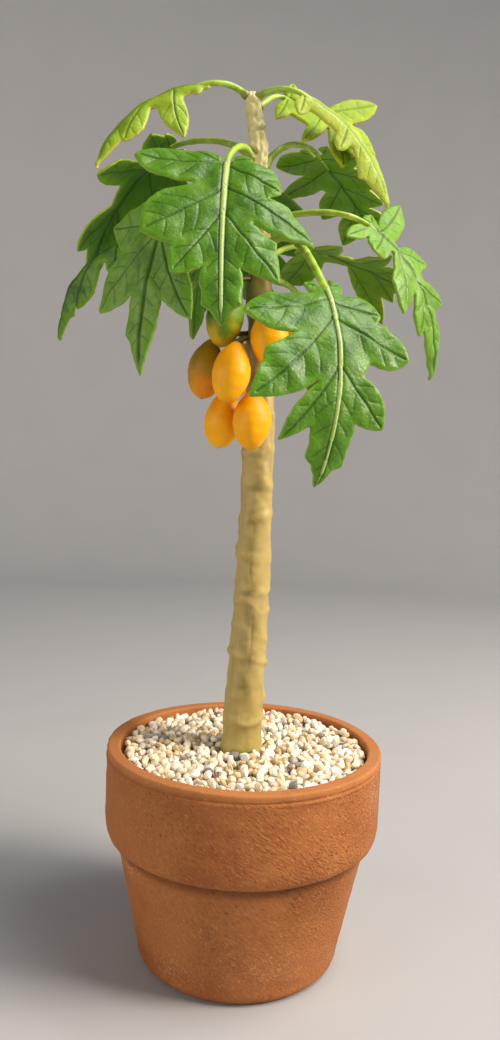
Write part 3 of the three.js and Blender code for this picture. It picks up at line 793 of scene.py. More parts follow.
@dataclass
class Gravel:
    """The light gravel that fills the pot: a core painted dark as the shade between grains, with separate
    grains dropped on it.
    """

    pot: Pot
    heights: Pairs = ((13.0, 97.8), (30.0, 97.5), (55.0, 97.3))
    core_depth: float = 4.8
    # Painted shade for the gaps between the grains
    gap_shade_colour: str = "#6B5A46"
    grains: int = 1300
    tries: int = 12
    sizes: tuple[float, float] = (1.2, 2.25)
    big: int = 130
    big_sizes: tuple[float, float] = (2.05, 2.8)
    trunk_place: tuple[float, float] = (-1.5, -1.2)
    trunk_room: float = 9.2
    cuts: int = 12
    cut_places: tuple[float, float] = (0.58, 0.86)
    shapes: tuple[tuple[float, float, float], ...] = ((1.05, 0.88, 0.75), (1.4, 1.12, 1.0))
    shades: tuple[float, float] = (0.86, 1.08)
    sharp: float = 38.0
    palette: tuple[tuple[str, float], ...] = (
        ("#F8EAD0", 0.31), ("#FDF6E9", 0.23), ("#F1DDBA", 0.17), ("#E4C99D", 0.09), ("#EFDCCB", 0.1),
        ("#CDB490", 0.035), ("#ABA59C", 0.025), ("#827E7A", 0.015), ("#F0CF98", 0.025))
    placed: tuple[tuple[float, float, float, str], ...] = (
        (0.2, -13.6, 2.5, "#F4F1EA"), (-3.9, -12.9, 2.4, "#8D8677"), (27.8, -21.5, 3.0, "#F5F3EE"),
        (24.6, -19.8, 2.2, "#A5A09A"), (-28.6, -27.5, 3.1, "#F3EFE6"), (-14.4, -28.2, 2.7, "#EFEAE0"),
        (-14.8, -32.6, 2.1, "#7D7C78"), (-46.0, -2.0, 2.6, "#8C8A86"), (-38.0, 6.5, 2.5, "#92908D"))
    seed: int = 11

    def surface(self, radius: np.ndarray) -> np.ndarray:
        """Height of the gravel's top at a distance from the middle."""
        return along(self.heights, radius)

    def drop(self, rng: np.random.Generator) -> np.ndarray:
        """Drops the grains one by one, each where it comes to lie lowest among a few places.

        Args:
            rng: Source of chance.

        Returns:
            Rows of x, y, z and radius.
        """
        reach = self.pot.inner_radius - 0.4
        radii = np.concatenate([rng.uniform(*self.big_sizes, self.big),
                                rng.uniform(*self.sizes, self.grains)])
        lying = np.zeros((len(self.placed) + len(radii), 4))
        for i, (x, y, radius, _) in enumerate(self.placed):
            lying[i] = (x, y, self.surface(np.hypot(x, y)) - radius * 0.75, radius)
        count = len(self.placed)
        for radius in radii:
            distance = (reach - radius) * np.sqrt(rng.uniform(0.012, 1.0, self.tries))
            turn = rng.uniform(0.0, 2.0 * math.pi, self.tries)
            spots = np.column_stack([distance * np.cos(turn), distance * np.sin(turn)])
            others = lying[:count]
            gap = np.linalg.norm(spots[:, None] - others[None, :, :2], axis=2)
            touch = 0.86 * (others[:, 3] + radius)
            rests = others[:, 2] + np.sqrt(np.maximum(touch ** 2 - gap ** 2, 0.0))
            floor = self.surface(distance) - self.core_depth + radius * 0.6
            height = np.maximum(floor, np.where(gap < touch, rests, -1e3).max(1))
            taken = np.linalg.norm(spots - self.trunk_place, axis=1) < self.trunk_room + 0.5 * radius
            height += 50.0 * taken
            best = int(np.argmin(height - self.surface(distance)))
            if height[best] + 0.6 * radius < self.surface(distance[best]) + 0.7:
                lying[count] = (*spots[best], height[best], radius)
                count += 1
        return lying[:count]

    def stone(self, rng: np.random.Generator, ball: np.ndarray, radius: float) -> np.ndarray:
        """Breaks a ball into one blunt grain.

        Args:
            rng: Source of chance.
            ball: Points of a ball with radius 1.
            radius: The grain's radius.

        Returns:
            The grain's points round its middle.
        """
        shape = ball.copy()
        for _ in range(self.cuts):
            way = unit(rng.normal(size=3))
            over = np.maximum(shape @ way - rng.uniform(*self.cut_places), 0.0)
            shape -= 0.95 * over[:, None] * way
        shape *= rng.uniform(*self.shapes)
        turn = np.linalg.qr(rng.normal(size=(3, 3)))[0]
        turn *= np.sign(np.linalg.det(turn))
        return radius * 1.08 * shape @ turn.T

    def build(self) -> None:
        """Makes the core and the grains, joined into three pieces; the ones on top are rounder."""
        rng = np.random.default_rng(self.seed)
        inner = self.pot.inner_radius
        core_top = self.heights[-1][1] - self.core_depth
        profile = np.array([[0.0, self.pot.floor + 0.3], [41.0, self.pot.floor + 0.3], [inner - 2.6, 58.0],
                            [inner - 0.9, core_top - 1.2], [inner * 0.7, core_top - 0.3], [0.0, core_top]])
        side = resampled(profile[1:-1], 3.0, closed=False)
        points, faces = lathe(np.vstack([profile[:1], side, profile[-1:]]), ROUND_SIDES)
        finish = CrushedStone().build()
        # The core's dark tint is painted shade, seen in the gaps between the grains
        dark = np.tile(linear(self.gap_shade_colour), (len(points), 1))
        piece("gravel_core", points, faces, finish, ["gravel_bed"], {"tint": dark})
        grains = self.drop(rng)
        names, shares = zip(*self.palette)
        picks = rng.choice(len(names), len(grains), p=np.array(shares) / sum(shares))
        hexes = [c for *_, c in self.placed] + [names[k] for k in picks[len(self.placed):]]
        balls = {level: ico_ball(level) for level in (1, 2)}
        order = np.argsort(np.arctan2(grains[:, 1], grains[:, 0]))
        for part, members in enumerate(np.array_split(order, 3)):
            bodies, corners, tints, count = [], [], [], 0
            for k in members:
                x, y, z, radius = grains[k]
                seen = radius > 1.3 and z > self.surface(np.hypot(x, y)) - 2.6
                ball, triangles = balls[2 if seen else 1]
                bodies.append(self.stone(rng, ball, radius) + [x, y, z])
                corners.append(triangles + count)
                tint = np.array(linear(hexes[k])) * rng.uniform(*self.shades)
                tints.append(np.tile(np.clip(tint, 0.0, 1.0), (len(ball), 1)))
                count += len(ball)
            grit = piece(f"gravel_grains_{part + 1}", np.vstack(bodies), np.vstack(corners), finish,
                         marks={"tint": np.vstack(tints)})
            grit.data.set_sharp_from_angle(angle=math.radians(self.sharp))


def ico_ball(level: int) -> tuple[np.ndarray, np.ndarray]:
    """Makes a ball with radius 1.

    Args:
        level: 1 for the coarsest ball. Each step more splits every triangle in four.

    Returns:
        The points and the triangles.
    """
    ball = bmesh.new()
    bmesh.ops.create_icosphere(ball, subdivisions=level, radius=1.0)
    points = np.array([v.co[:] for v in ball.verts])
    triangles = np.array([[v.index for v in f.verts] for f in ball.faces])
    ball.free()
    return points, triangles


# Trunk


@dataclass(frozen=True)
class Scar:
    """A scar round the trunk, where a leaf once grew: it swells and tilts, with a crease below."""

    height: float
    swell: float
    tilt: float
    heading: float
    width: float
    depth: float = 0.35


@dataclass
class Trunk:
    """The slender trunk with its scars, leaning a little and lumpy at the top.

    Where four heights are given, something starts, is full, fades and ends there: the seam at the front, the
    darker band beside it, and the painted shade among the fruit stems. Where two are given, it starts and is
    full: the slim top, its paler paint, and the clean part above the mossy foot.
    """

    foot: float = 91.0
    tip: float = 388.0
    line: tuple[tuple[float, float, float], ...] = (
        (-1.5, -1.2, 98.1), (0.2, -1.1, 145.0), (1.2, -1.0, 195.0), (1.2, -1.0, 240.0), (-0.8, -1.0, 305.0),
        (-3.5, -1.0, 360.0), (-7.4, -1.0, 389.0))
    radii: Pairs = ((98.1, 9.6), (104.0, 9.0), (120.0, 8.7), (160.0, 7.9), (230.0, 6.9), (300.0, 5.6),
                    (340.0, 4.3), (375.0, 3.7), (389.0, 3.1))
    scars: tuple[Scar, ...] = (
        Scar(111, 0.75, 0.7, 20, 1.8, 0.5), Scar(121, 0.75, 1, 200, 2.2), Scar(139.5, 1.5, 2.6, 190, 1.5),
        Scar(151, 0.5, 3.5, 190, 1.8), Scar(163, 0.55, 2.6, 200, 1.6), Scar(171, 0.7, 0.8, 120, 1.7, 0.6),
        Scar(186, 1, 2.2, 160, 2.3), Scar(203, 0.75, 0.9, 10, 1.8, 0.45), Scar(218, 0.7, 1.2, 190, 2.2),
        Scar(233, 0.6, 1, 40, 2), Scar(248, 0.5, 1.6, 300, 2), Scar(262, 0.4, 1.2, 100, 2),
        Scar(279, 0.4, 1, 250, 2), Scar(297, 0.4, 1.3, 30, 2), Scar(316, 0.4, 1, 200, 2),
        Scar(334, 0.5, 1, 80, 1.8), Scar(347, 0.55, 1.3, 10, 1.6), Scar(356, 0.6, 1.5, 190, 1.5, 0.45),
        Scar(364.5, 0.5, 1, 140, 1.4, 0.45), Scar(372.5, 0.6, 1.2, 330, 1.4, 0.5),
        Scar(380, 0.45, 0.8, 60, 1.3))
    front: float = 1.5 * math.pi
    seam: tuple[float, ...] = (118.0, 124.0, 195.0, 215.0)
    band: tuple[float, ...] = (105.0, 125.0, 268.0, 290.0)
    shaded: tuple[float, ...] = (272.0, 294.0, 318.0, 336.0)
    slim: tuple[float, float] = (335.0, 350.0)
    pale: tuple[float, float] = (318.0, 352.0)
    clean: tuple[float, float] = (102.0, 128.0)
    usual_radius: float = 9.0
    sides: int = 88
    step: float = 0.85

    def centre(self, z: np.ndarray) -> np.ndarray:
        """Middle of the trunk at each height, on a smooth line through its points.

        Args:
            z: Heights.

        Returns:
            Rows of x, y and z.
        """
        line = np.array(self.line)
        spans = np.diff(line, axis=0)
        slopes = spans[:, :2] / spans[:, 2:]
        middle = (slopes[1:] + slopes[:-1]) / 2.0
        tangents = np.vstack([slopes[:1], middle, slopes[-1:]])
        z = np.atleast_1d(np.asarray(z, float))
        i = np.clip(np.searchsorted(line[:, 2], z) - 1, 0, len(spans) - 1)
        u = np.clip((z - line[i, 2]) / spans[i, 2], 0.0, 1.0)[:, None]
        rise = spans[i, 2:]
        start, end = line[i, :2], line[i + 1, :2]
        flat = ((2 * u ** 3 - 3 * u ** 2 + 1) * start + (u ** 3 - 2 * u ** 2 + u) * rise * tangents[i]
                + (3 * u ** 2 - 2 * u ** 3) * end + (u ** 3 - u ** 2) * rise * tangents[i + 1])
        return np.column_stack([flat, z])

    def radius(self, z: np.ndarray) -> np.ndarray:
        """Plain radius at each height, without the scars."""
        return along(self.radii, z)

    def scarring(self, z: np.ndarray, angle: np.ndarray, around: np.ndarray) -> tuple[np.ndarray, ...]:
        """Adds up what the scars do to the skin.

        Args:
            z: Height of each point.
            angle: Angle of each point round the trunk.
            around: Each point on a straight trunk, which steers the unevenness.

        Returns:
            How far each point swells out, how deep it lies in a crease and how high on a crest.
        """
        swell, hollow_and_shade, crest = np.zeros((3, len(z)))
        for k, scar in enumerate(self.scars):
            off = z - scar.height - scar.tilt * np.cos(angle - math.radians(scar.heading))
            off -= 0.9 * waves(around * [1.0, 1.0, 0.2], 15.0, 40 + k)
            strength = np.clip(0.65 + 0.55 * waves(around * [1.0, 1.0, 0.1], 22.0, 80 + k), 0.05, 1.3)
            patch = np.clip(0.35 + 0.8 * waves(around * [1.0, 1.0, 0.1], 15.0, 120 + k), 0.0, 1.0)
            hump = strength * bell(off, 1.25 * scar.width)
            line = patch * bell(off, 0.8)
            crease = patch * bell(off + 1.1 * scar.width, 0.55 * scar.width)
            swell += scar.swell * hump + 0.09 * line - 0.45 * scar.depth * crease
            hollow_and_shade = np.maximum(hollow_and_shade, crease * min(1.0, scar.depth * 1.4))
            crest = np.maximum(crest, np.maximum(hump * 0.35, line * 0.55))
        return swell, hollow_and_shade, crest

    def build(self) -> None:
        """Makes the trunk with its scars, its front seam and its lumpy top."""
        levels = np.arange(self.foot, self.tip + 0.01, self.step)
        z, angle = (grid.ravel() for grid in np.meshgrid(levels, full_turn(self.sides), indexing="ij"))
        around = np.column_stack([np.cos(angle) * self.usual_radius, np.sin(angle) * self.usual_radius, z])
        swell, hollow_and_shade, crest = self.scarring(z, angle, around)
        slim = smooth(z, *self.slim)
        flat = around * [0.6, 0.6, 1.2]
        lumps = 0.3 * waves(around, 12.0, 21) + (0.07 + 0.2 * slim) * waves(flat, 4.2, 22)
        # The seam wanders about the front, with a darker band beside it
        bend = 2.6 * waves(z[:, None] * [[0.0, 0.0, 1.0]], 60.0, 23) / self.usual_radius
        gap = angle - self.front - bend
        seam = bell(gap, 0.06) * between(z, *self.seam)
        seam *= np.clip(0.5 + 0.9 * waves(around, 14.0, 25), 0.0, 1.0)
        band = 0.85 * bell(gap, 0.42) * between(z, *self.band)
        band *= np.clip(0.65 + 0.6 * waves(around, 12.0, 24), 0.1, 1.0)
        # The last three millimetres round off
        end = np.sqrt(np.clip((self.tip + 0.6 - z) / 3.0, 0.02, 1.0))
        reach = (self.radius(z) + swell * (1.0 - 0.3 * slim) + lumps - 0.22 * seam) * end
        middle = self.centre(z)
        points = middle + np.column_stack([reach * np.cos(angle), reach * np.sin(angle), np.zeros_like(z)])
        rings = list(points.reshape(len(levels), self.sides, 3))
        ends = self.centre([self.foot - 0.5, self.tip + 0.4])
        points, faces = capped(rings, ends[0], ends[1])
        # Painted shade among the fruit stems joins the dark paint in the scars' creases
        marks = {"hollow_and_shade": np.maximum(hollow_and_shade * 0.55, 0.6 * between(z, *self.shaded)), "crest": crest,
                 "top": smooth(z, *self.pale) * 0.85, "foot": 0.7 - 0.7 * smooth(z, *self.clean),
                 "seam": np.maximum(seam, band)}
        marks = {name: np.concatenate([values, values[[0, -1]]]) for name, values in marks.items()}
        piece("trunk_bark", points, faces, PaintedBark().build(), ["trunk"], marks)


# Leaves


@dataclass(frozen=True)
class Lobe:
    """One pointed lobe of a leaf: its angle from the midrib, its reach, and its width at the widest."""

    angle: float
    length: float
    width: float
    tooth_in: float = 0.0
    tooth_out: float = 0.0
    blunt: float = 1.8
    widest: float = 0.5
    tooth_depth: float = 0.22

    ROOT = 0.6
    TOOTH_RISE = 0.22
    TOOTH_DROP = 0.07

    def half_width(self, t: np.ndarray) -> np.ndarray:
        """Half of the lobe's width at t, which runs from 0 at its root to 1 at its tip."""
        swelling = self.ROOT + (1.0 - self.ROOT) * np.sin(0.5 * math.pi * np.minimum(t / self.widest, 1.0))
        beyond = np.clip((t - self.widest) / (1.0 - self.widest), 0.0, 1.0)
        return 0.5 * self.width * np.where(t < self.widest, swelling, 1.0 - beyond ** self.blunt)

    def tooth(self, place: float, t: np.ndarray) -> np.ndarray:
        """Shapes a tooth, which rises along the edge to its place and drops quickly after it.

        Args:
            place: Where the tooth is between the root (0) and the tip (1); 0 leaves it out.
            t: Places from the root to the tip.

        Returns:
            How far the tooth stands out at each place.
        """
        if not place:
            return np.zeros_like(t)
        rise = np.maximum(0.0, (t - place + self.TOOTH_RISE) / self.TOOTH_RISE) ** 1.5
        fall = np.maximum(0.0, 1.0 - (t - place) / self.TOOTH_DROP)
        return 0.5 * self.tooth_depth * self.width * np.where(t <= place, rise, fall)

    def line(self, at: float, t: np.ndarray, edge: int) -> np.ndarray:
        """Flat points of the lobe.

        Args:
            at: Where the lobe leaves the midrib.
            t: Places from the root (0) to the tip (1).
            edge: -1 for the edge nearer the stalk, 0 for the middle and 1 for the other edge.

        Returns:
            Rows of distance along the midrib and distance beside it.
        """
        t = np.asarray(t, float)
        angle = math.radians(self.angle)
        tooth = self.tooth_in if edge < 0 else self.tooth_out
        half = edge * edge * (self.half_width(t) + self.tooth(tooth, t))
        return np.column_stack([at + self.length * t * math.cos(angle) + edge * half * math.sin(angle),
                                self.length * t * math.sin(angle) - edge * half * math.cos(angle)])


class Midrib(Enum):
    """How the middle of a leaf is modelled."""

    RAISED = "raised"
    ENGRAVED = "engraved"


class Coat(Enum):
    """The kinds of leaf paint on the tree; one is the young green painted paler, as a painted highlight."""

    GLOSSY = MouldedLeaf(
        "moulded_leaf_glossy_green", face="#48760F", deep="#315C07", pale="#6E9433", vein="#214304",
        ridge="#A9C070", rim="#84A93A", margin="#5A8C12", under="#4C7A0E", gloss=0.38)
    SATIN = MouldedLeaf(
        "moulded_leaf_satin_green", face="#6C9832", deep="#4F781B", pale="#8BAA52", vein="#2A4E08",
        ridge="#9DB765", rim="#8CB040", margin="#6A9A22", under="#5B8219", gloss=0.42)
    SHADED = MouldedLeaf(
        "moulded_leaf_deep_green", face="#4A7C0A", deep="#316005", pale="#6B991F", vein="#204004",
        ridge="#4C780E", rim="#98B232", margin="#6D9E14", under="#4A8007", gloss=0.42)
    SUNLIT = MouldedLeaf(
        "moulded_leaf_sunlit_green", face="#5F9210", deep="#3A6C06", pale="#7CA31E", vein="#264C05",
        ridge="#4C780E", rim="#A6BE3A", margin="#86B01E", under="#6A9C10", gloss=0.42)
    YOUNG = MouldedLeaf(
        "moulded_leaf_young_green", face="#86A026", deep="#6A8A14", pale="#ACBC5C", vein="#5A7C10",
        ridge="#8FAC38", rim="#BEB554", margin="#90B01E", under="#729812", gloss=0.42)
    # The young green painted paler: a painted highlight on that leaf's flat facets
    YOUNG_HIGHLIGHTED = MouldedLeaf(
        "moulded_leaf_young_green_painted_highlight", face="#A0B23C", deep="#7F991C", pale="#C2CA74", vein="#6C8A18",
        ridge="#8FAC38", rim="#C4BE62", margin="#A4BA34", under="#86A41A", gloss=0.45)
    BRIGHT = MouldedLeaf(
        "moulded_leaf_bright_green", face="#82A000", deep="#6C8A00", pale="#90AA06", vein="#5C7C02",
        ridge="#7F970B", rim="#AAAA22", margin="#94AC08", under="#84A004", gloss=0.6)


@dataclass(frozen=True)
class Stalk:
    """Where a leaf's stalk leaves the trunk and how it bends to the blade."""

    root: float
    side: float
    rise: float
    out: float
    back: float
    radius: float


@dataclass
class Leaf:
    """One leaf: where its blade starts, how it runs and bends, its lobes and its stalk.

    Lobes longer than RIBBED have a rib, and those longer than VEINED have small veins too.
    """

    name: str
    base: tuple[float, float, float]
    heading: float
    pitch: tuple[float, float]
    roll: float
    lean: float
    bow: float
    length: float
    fold: tuple[float, float]
    curl: tuple[float, float]
    tip_at: float
    tip_width: float
    lobes: Sequence[tuple[float, Lobe, Lobe]]
    stalk: Stalk
    coat: Coat = Coat.SHADED
    midrib: Midrib = Midrib.ENGRAVED
    tip_teeth: tuple[float, float] = (0.0, 0.0)
    slot: str = "leaf_green"
    thickness: float = 1.3
    stalk_slot: float = 2.6
    grid: float = 0.66
    outline_step: float = 0.55
    rim_round: float = 0.65
    rib_depth: float = 0.4
    rib_width: float = 0.36
    rib_radius: float = 1.1
    vein_depth: float = 0.18
    vein_width: float = 0.25
    pillow: float = 0.26
    pillow_width: float = 2.4
    uneven: float = 0.3
    droop: float = 0.8
    seed: int = 0
    table: np.ndarray = field(default_factory=lambda: np.zeros((0, 3)))

    STEP = 0.25
    MIDRIB_END = 0.97
    RIBBED = 7.0
    VEINED = 13.0
    VEIN_SPACING = (6.5, 10.0)
    SIDES = 28

    def frames(self, s: np.ndarray) -> tuple[np.ndarray, np.ndarray, np.ndarray]:
        """The leaf's own directions at distances along its midrib.

        Args:
            s: Distances from the base.

        Returns:
            The ways along the midrib, to its left and out of the upper face, one row each.
        """
        u = np.clip(np.asarray(s, float) / self.length, 0.0, 1.2)
        heading = math.radians(self.heading)
        pitch = np.radians(self.pitch[0] + (self.pitch[1] - self.pitch[0]) * u)
        swing = np.radians(self.lean + self.bow * u)[:, None]
        roll = math.radians(self.roll)
        ahead = np.column_stack([math.cos(heading) * np.cos(pitch), math.sin(heading) * np.cos(pitch),
                                 np.sin(pitch)])
        level = np.array([-math.sin(heading), math.cos(heading), 0.0])
        left = math.cos(roll) * level + math.sin(roll) * np.cross(ahead, level)
        normal = np.cross(ahead, left)
        return (np.cos(swing) * ahead + np.sin(swing) * left,
                np.cos(swing) * left - np.sin(swing) * ahead, normal)

    def midrib_points(self, s: np.ndarray) -> np.ndarray:
        """Finds places on the midrib, which is straight before the base.

        Args:
            s: Distances from the base.

        Returns:
            The places, one row each.
        """
        if not len(self.table):
            steps = np.arange(0.0, self.length * 1.2, self.STEP)
            ways = self.frames(steps + 0.5 * self.STEP)[0] * self.STEP
            self.table = np.array(self.base) + np.vstack([np.zeros(3), np.cumsum(ways, axis=0)])
        places = np.arange(len(self.table)) * self.STEP
        on = np.column_stack([np.interp(np.maximum(s, 0.0), places, column) for column in self.table.T])
        return on + np.minimum(s, 0.0)[:, None] * self.frames(np.zeros(1))[0]

    def to_space(self, flat: np.ndarray, height: np.ndarray) -> np.ndarray:
        """Bends flat places on the leaf into space.

        Args:
            flat: Rows of distance along the midrib and distance to its left.
            height: Height of each place above the blade's middle.

        Returns:
            The places in space.
        """
        s, w = flat.T
        _, left, normal = self.frames(s)
        half = (w < 0).astype(int)
        fold = np.radians(np.array(self.fold)[half])
        curl = np.array(self.curl)[half]
        curl = np.radians(np.where(curl == 0, 0.01, curl)) / 10.0
        angle = fold + curl * np.abs(w)
        across = (np.sin(angle) - np.sin(fold)) / curl
        drop = (np.cos(fold) - np.cos(angle)) / curl
        tilt = angle * smooth(np.abs(w), 0.0, 1.6)
        beside = np.sign(w) * (across + height * np.sin(tilt))
        above = height * np.cos(tilt) - drop
        return self.midrib_points(s) + beside[:, None] * left + above[:, None] * normal

    def half_lobes(self, half: int) -> list[tuple[float, Lobe]]:
        """Lobes of one half, from the stalk to the tip: half is 0 for the left and 1 for the right."""
        tip = Lobe(0.0, self.length - self.tip_at, self.tip_width, self.tip_teeth[half], 0.0, 1.6, 0.35, 0.3)
        return [(pair[0], pair[1 + half]) for pair in self.lobes] + [(self.tip_at, tip)]

    def parting(self, a: tuple[float, Lobe], b: tuple[float, Lobe]) -> tuple[np.ndarray, float, float]:
        """Finds where two neighbouring lobes part, at the outermost crossing of their edges.

        Args:
            a: The lobe nearer the stalk and its place.
            b: The next lobe and its place.

        Returns:
            The flat point, and its place along each lobe.
        """
        steps = 40
        t = np.arange(steps + 1) / steps
        far, near = a[1].line(a[0], t, 1), b[1].line(b[0], t, -1)
        gaps = np.linalg.norm(far[:, None] - near[None], axis=2)
        best, found = math.inf, (0, 0)
        for i in range(steps, -1, -1):
            for j in range(steps, -1, -1):
                if gaps[i, j] < best - 0.25:
                    best, found = gaps[i, j], (i, j)
            if best < 0.6:
                break
        i, j = found
        return (far[i] + near[j]) / 2.0, t[i], t[j]

    def half_outline(self, half: int) -> np.ndarray:
        """Draws the flat edge of one half, as if it were the left one.

        Args:
            half: 0 for the left half and 1 for the right one.

        Returns:
            The edge's points from the stalk to the leaf's tip.
        """
        lobes = self.half_lobes(half)
        partings = [self.parting(a, b) for a, b in zip(lobes, lobes[1:])]
        edge = [np.array([[0.0, 0.0], [0.0, self.stalk_slot]])]
        for i, (at, lobe) in enumerate(lobes):
            inner = lobe.line(at, np.linspace(partings[i - 1][2] if i else 0.22, 1.0, 60), -1)
            if i:
                inner[0] = partings[i - 1][0]
            else:
                inner[:, 1] = np.maximum(inner[:, 1], self.stalk_slot)
            edge.append(inner)
            if i < len(partings):
                outer = lobe.line(at, np.linspace(1.0, partings[i][1], 60), 1)
                outer[-1] = partings[i][0]
                edge.append(outer[1:])
        flat = np.vstack(edge)
        flat[:, 1] = np.maximum(flat[:, 1], 0.0)
        return flat

    def outline(self) -> np.ndarray:
        """Draws the whole flat edge, with its corners softened as pressed clay has them.

        Returns:
            The edge's points, counterclockwise.
        """
        left, right = self.half_outline(0), self.half_outline(1) * [1.0, -1.0]
        edge = resampled(np.vstack([right, left[::-1]]), self.outline_step, closed=True)
        for _ in range(2):
            edge = (np.roll(edge, 1, axis=0) + 2.0 * edge + np.roll(edge, -1, axis=0)) / 4.0
        out = np.roll(edge, -1, axis=0) - np.roll(edge, 1, axis=0)
        out = unit(np.column_stack([out[:, 1], -out[:, 0]]))
        return edge + out * (0.12 * waves(edge, 5.0, 60 + self.seed))[:, None]

    def veins(self) -> tuple[list[np.ndarray], list[np.ndarray]]:
        """Lines of the main ribs and of the small veins that leave them.

        Returns:
            The ribs and the veins, each a flat line.
        """
        rng = np.random.default_rng(200 + self.seed)
        ribs = [np.array([[0.5, 0.0], [self.length * self.MIDRIB_END, 0.0]])]
        small = []
        for half in (0, 1):
            mirror = np.array([1.0, 1.0 - 2.0 * half])
            for at, lobe in self.half_lobes(half)[:-1]:
                if lobe.length < self.RIBBED:
                    continue
                start = np.array([max(1.0, at - 0.12 * lobe.length), 0.0])
                bend, end = lobe.line(at, [0.42, 0.93], 0)
                rib = curved(start, bend, end, 40)
                ribs.append(rib * mirror)
                if lobe.length > self.VEINED:
                    small += [vein * mirror
                              for vein in self.side_veins(rng, rib, lobe.width, 0.34, lobe.blunt)]
            run = np.column_stack([np.linspace(self.tip_at - 4.0, self.length * 0.95, 40), np.zeros(40)])
            small += [vein * mirror for vein in self.side_veins(rng, run, self.tip_width, 0.12, 1.6)
                      if vein[-1, 1] > 0]
        return tuple([resampled(line, 0.5, closed=False) for line in lines] for lines in (ribs, small))

    @staticmethod
    def side_veins(rng: np.random.Generator, rib: np.ndarray, width: float, first: float,
                   blunt: float) -> list[np.ndarray]:
        """Small veins that leave a rib on both sides and bend towards its tip.

        Args:
            rng: Source of chance.
            rib: The rib's flat line.
            width: Width of the lobe that the rib runs in.
            first: Share of the rib before the first vein.
            blunt: How blunt the lobe's end is.

        Returns:
            The veins' flat lines.
        """
        length = np.linalg.norm(np.diff(rib, axis=0), axis=1).sum()
        made = []
        for turn in (-1, 1):
            place = first * length + rng.uniform(0.0, 2.0)
            while place < 0.9 * length:
                t = place / length
                i = int(t * (len(rib) - 1))
                way = unit(rib[min(i + 1, len(rib) - 1)] - rib[i - 1])
                side = turn * np.array([-way[1], way[0]])
                room = 0.5 * width * (1.0 - max(0.0, (t - 0.5) / 0.5) ** blunt)
                reach = room * rng.uniform(0.6, 0.95)
                if reach > 1.6:
                    u = np.linspace(0.0, 1.0, 14)[:, None]
                    ahead = reach * rng.uniform(0.75, 1.0)
                    made.append(rib[i] + u * reach * side + (0.55 * u + 0.45 * u ** 2) * ahead * way)
                place += rng.uniform(*Leaf.VEIN_SPACING)
        return made

    def midrib_radius(self, s: np.ndarray) -> np.ndarray:
        """Half the width of a raised midrib at distances from the base, ending before the tip."""
        slim = self.rib_radius * (1.0 - 0.6 * np.clip(s / (0.93 * self.length), 0.0, 1.0))
        return slim * (1.0 - smooth(s, 0.9 * self.length, 0.96 * self.length))

    def flat_mesh(self, ribs: list[np.ndarray],
                  veins: list[np.ndarray]) -> tuple[np.ndarray, np.ndarray, np.ndarray]:
        """Triangulates the flat blade, with points along its edge and its veins.

        Args:
            ribs: The main ribs.
            veins: The small veins.

        Returns:
            The flat points, the triangles and the outline.
        """
        edge = self.outline()
        rng = np.random.default_rng(300 + self.seed)
        way = unit(np.roll(edge, -1, axis=0) - np.roll(edge, 1, axis=0))
        inward = np.column_stack([-way[:, 1], way[:, 0]])
        low, high = edge.min(0), edge.max(0)
        rows = np.arange(low[1], high[1], self.grid * 0.866)
        columns = np.arange(low[0], high[0], self.grid)
        lattice = np.array([(x + 0.5 * self.grid * (j % 2), y) for j, y in enumerate(rows) for x in columns])
        lattice += rng.uniform(-0.1, 0.1, lattice.shape) * self.grid
        beside, raised = [], []
        if self.midrib is Midrib.RAISED:
            middle = ribs[0]
            radius = self.midrib_radius(middle[:, 0])
            for share, beyond in ((0.0, 0.0), (0.45, 0.0), (0.85, 0.0), (1.0, 0.1), (1.0, 0.4), (1.0, 0.75)):
                reach = np.column_stack([np.zeros_like(radius), share * radius + beyond])
                raised += [middle - reach, middle + reach]
        for lines, offsets in ((ribs, (0.0, 0.35, 0.75)), (veins, (0.0, 0.35))):
            for line in lines:
                run = unit(np.gradient(line, axis=0))
                across = np.column_stack([-run[:, 1], run[:, 0]])
                beside += [line + side * offset * across for offset in offsets for side in (-1, 1)]
        # Each group comes with its least distance from points already taken, and from the edge.
        groups = [(edge + inward * 0.22, 0.17, 0.15), (edge + inward * 0.6, 0.3, 0.45),
                  (np.vstack(raised or beside[:1]), 0.2, 0.4), (np.vstack(beside), 0.3, 0.5),
                  (lattice, 0.48, 0.62)]
        rim = resampled(edge, 0.12, closed=True)
        wanted = []
        for points, least, room in groups:
            keep = (turns_round(edge, points) != 0) & (nearest(rim, points)[0] > room)
            wanted.append((points[keep], least))
        return *triangulated(edge, spaced([(edge, 0.0), *wanted])), edge

    def build_blade(self, finish: bpy.types.Material) -> None:
        """Raises the flat mesh to a blade with veins, a rounded rim and two faces.

        Args:
            finish: The leaf's material.
        """
        ribs, veins = self.veins()
        flat, triangles, edge = self.flat_mesh(ribs, veins)
        s, w = flat.T
        # Distance of each point from the rim, the ribs, the veins and the midrib
        rim_gap = nearest(resampled(edge, 0.12, closed=True), flat)[0]
        rib_gap = nearest(np.vstack(ribs[1:]), flat)[0]
        vein_gap = nearest(np.vstack(veins), flat)[0] if veins else np.full(len(flat), 9.0)
        centre_gap = np.where(s < self.length * self.MIDRIB_END, np.abs(w), 9.0)
        main_gap = np.minimum(rib_gap, centre_gap)
        fade = smooth(rim_gap, 0.2, 1.6)
        rib = bell(rib_gap, self.rib_width) * fade
        vein = bell(vein_gap, self.vein_width) * fade
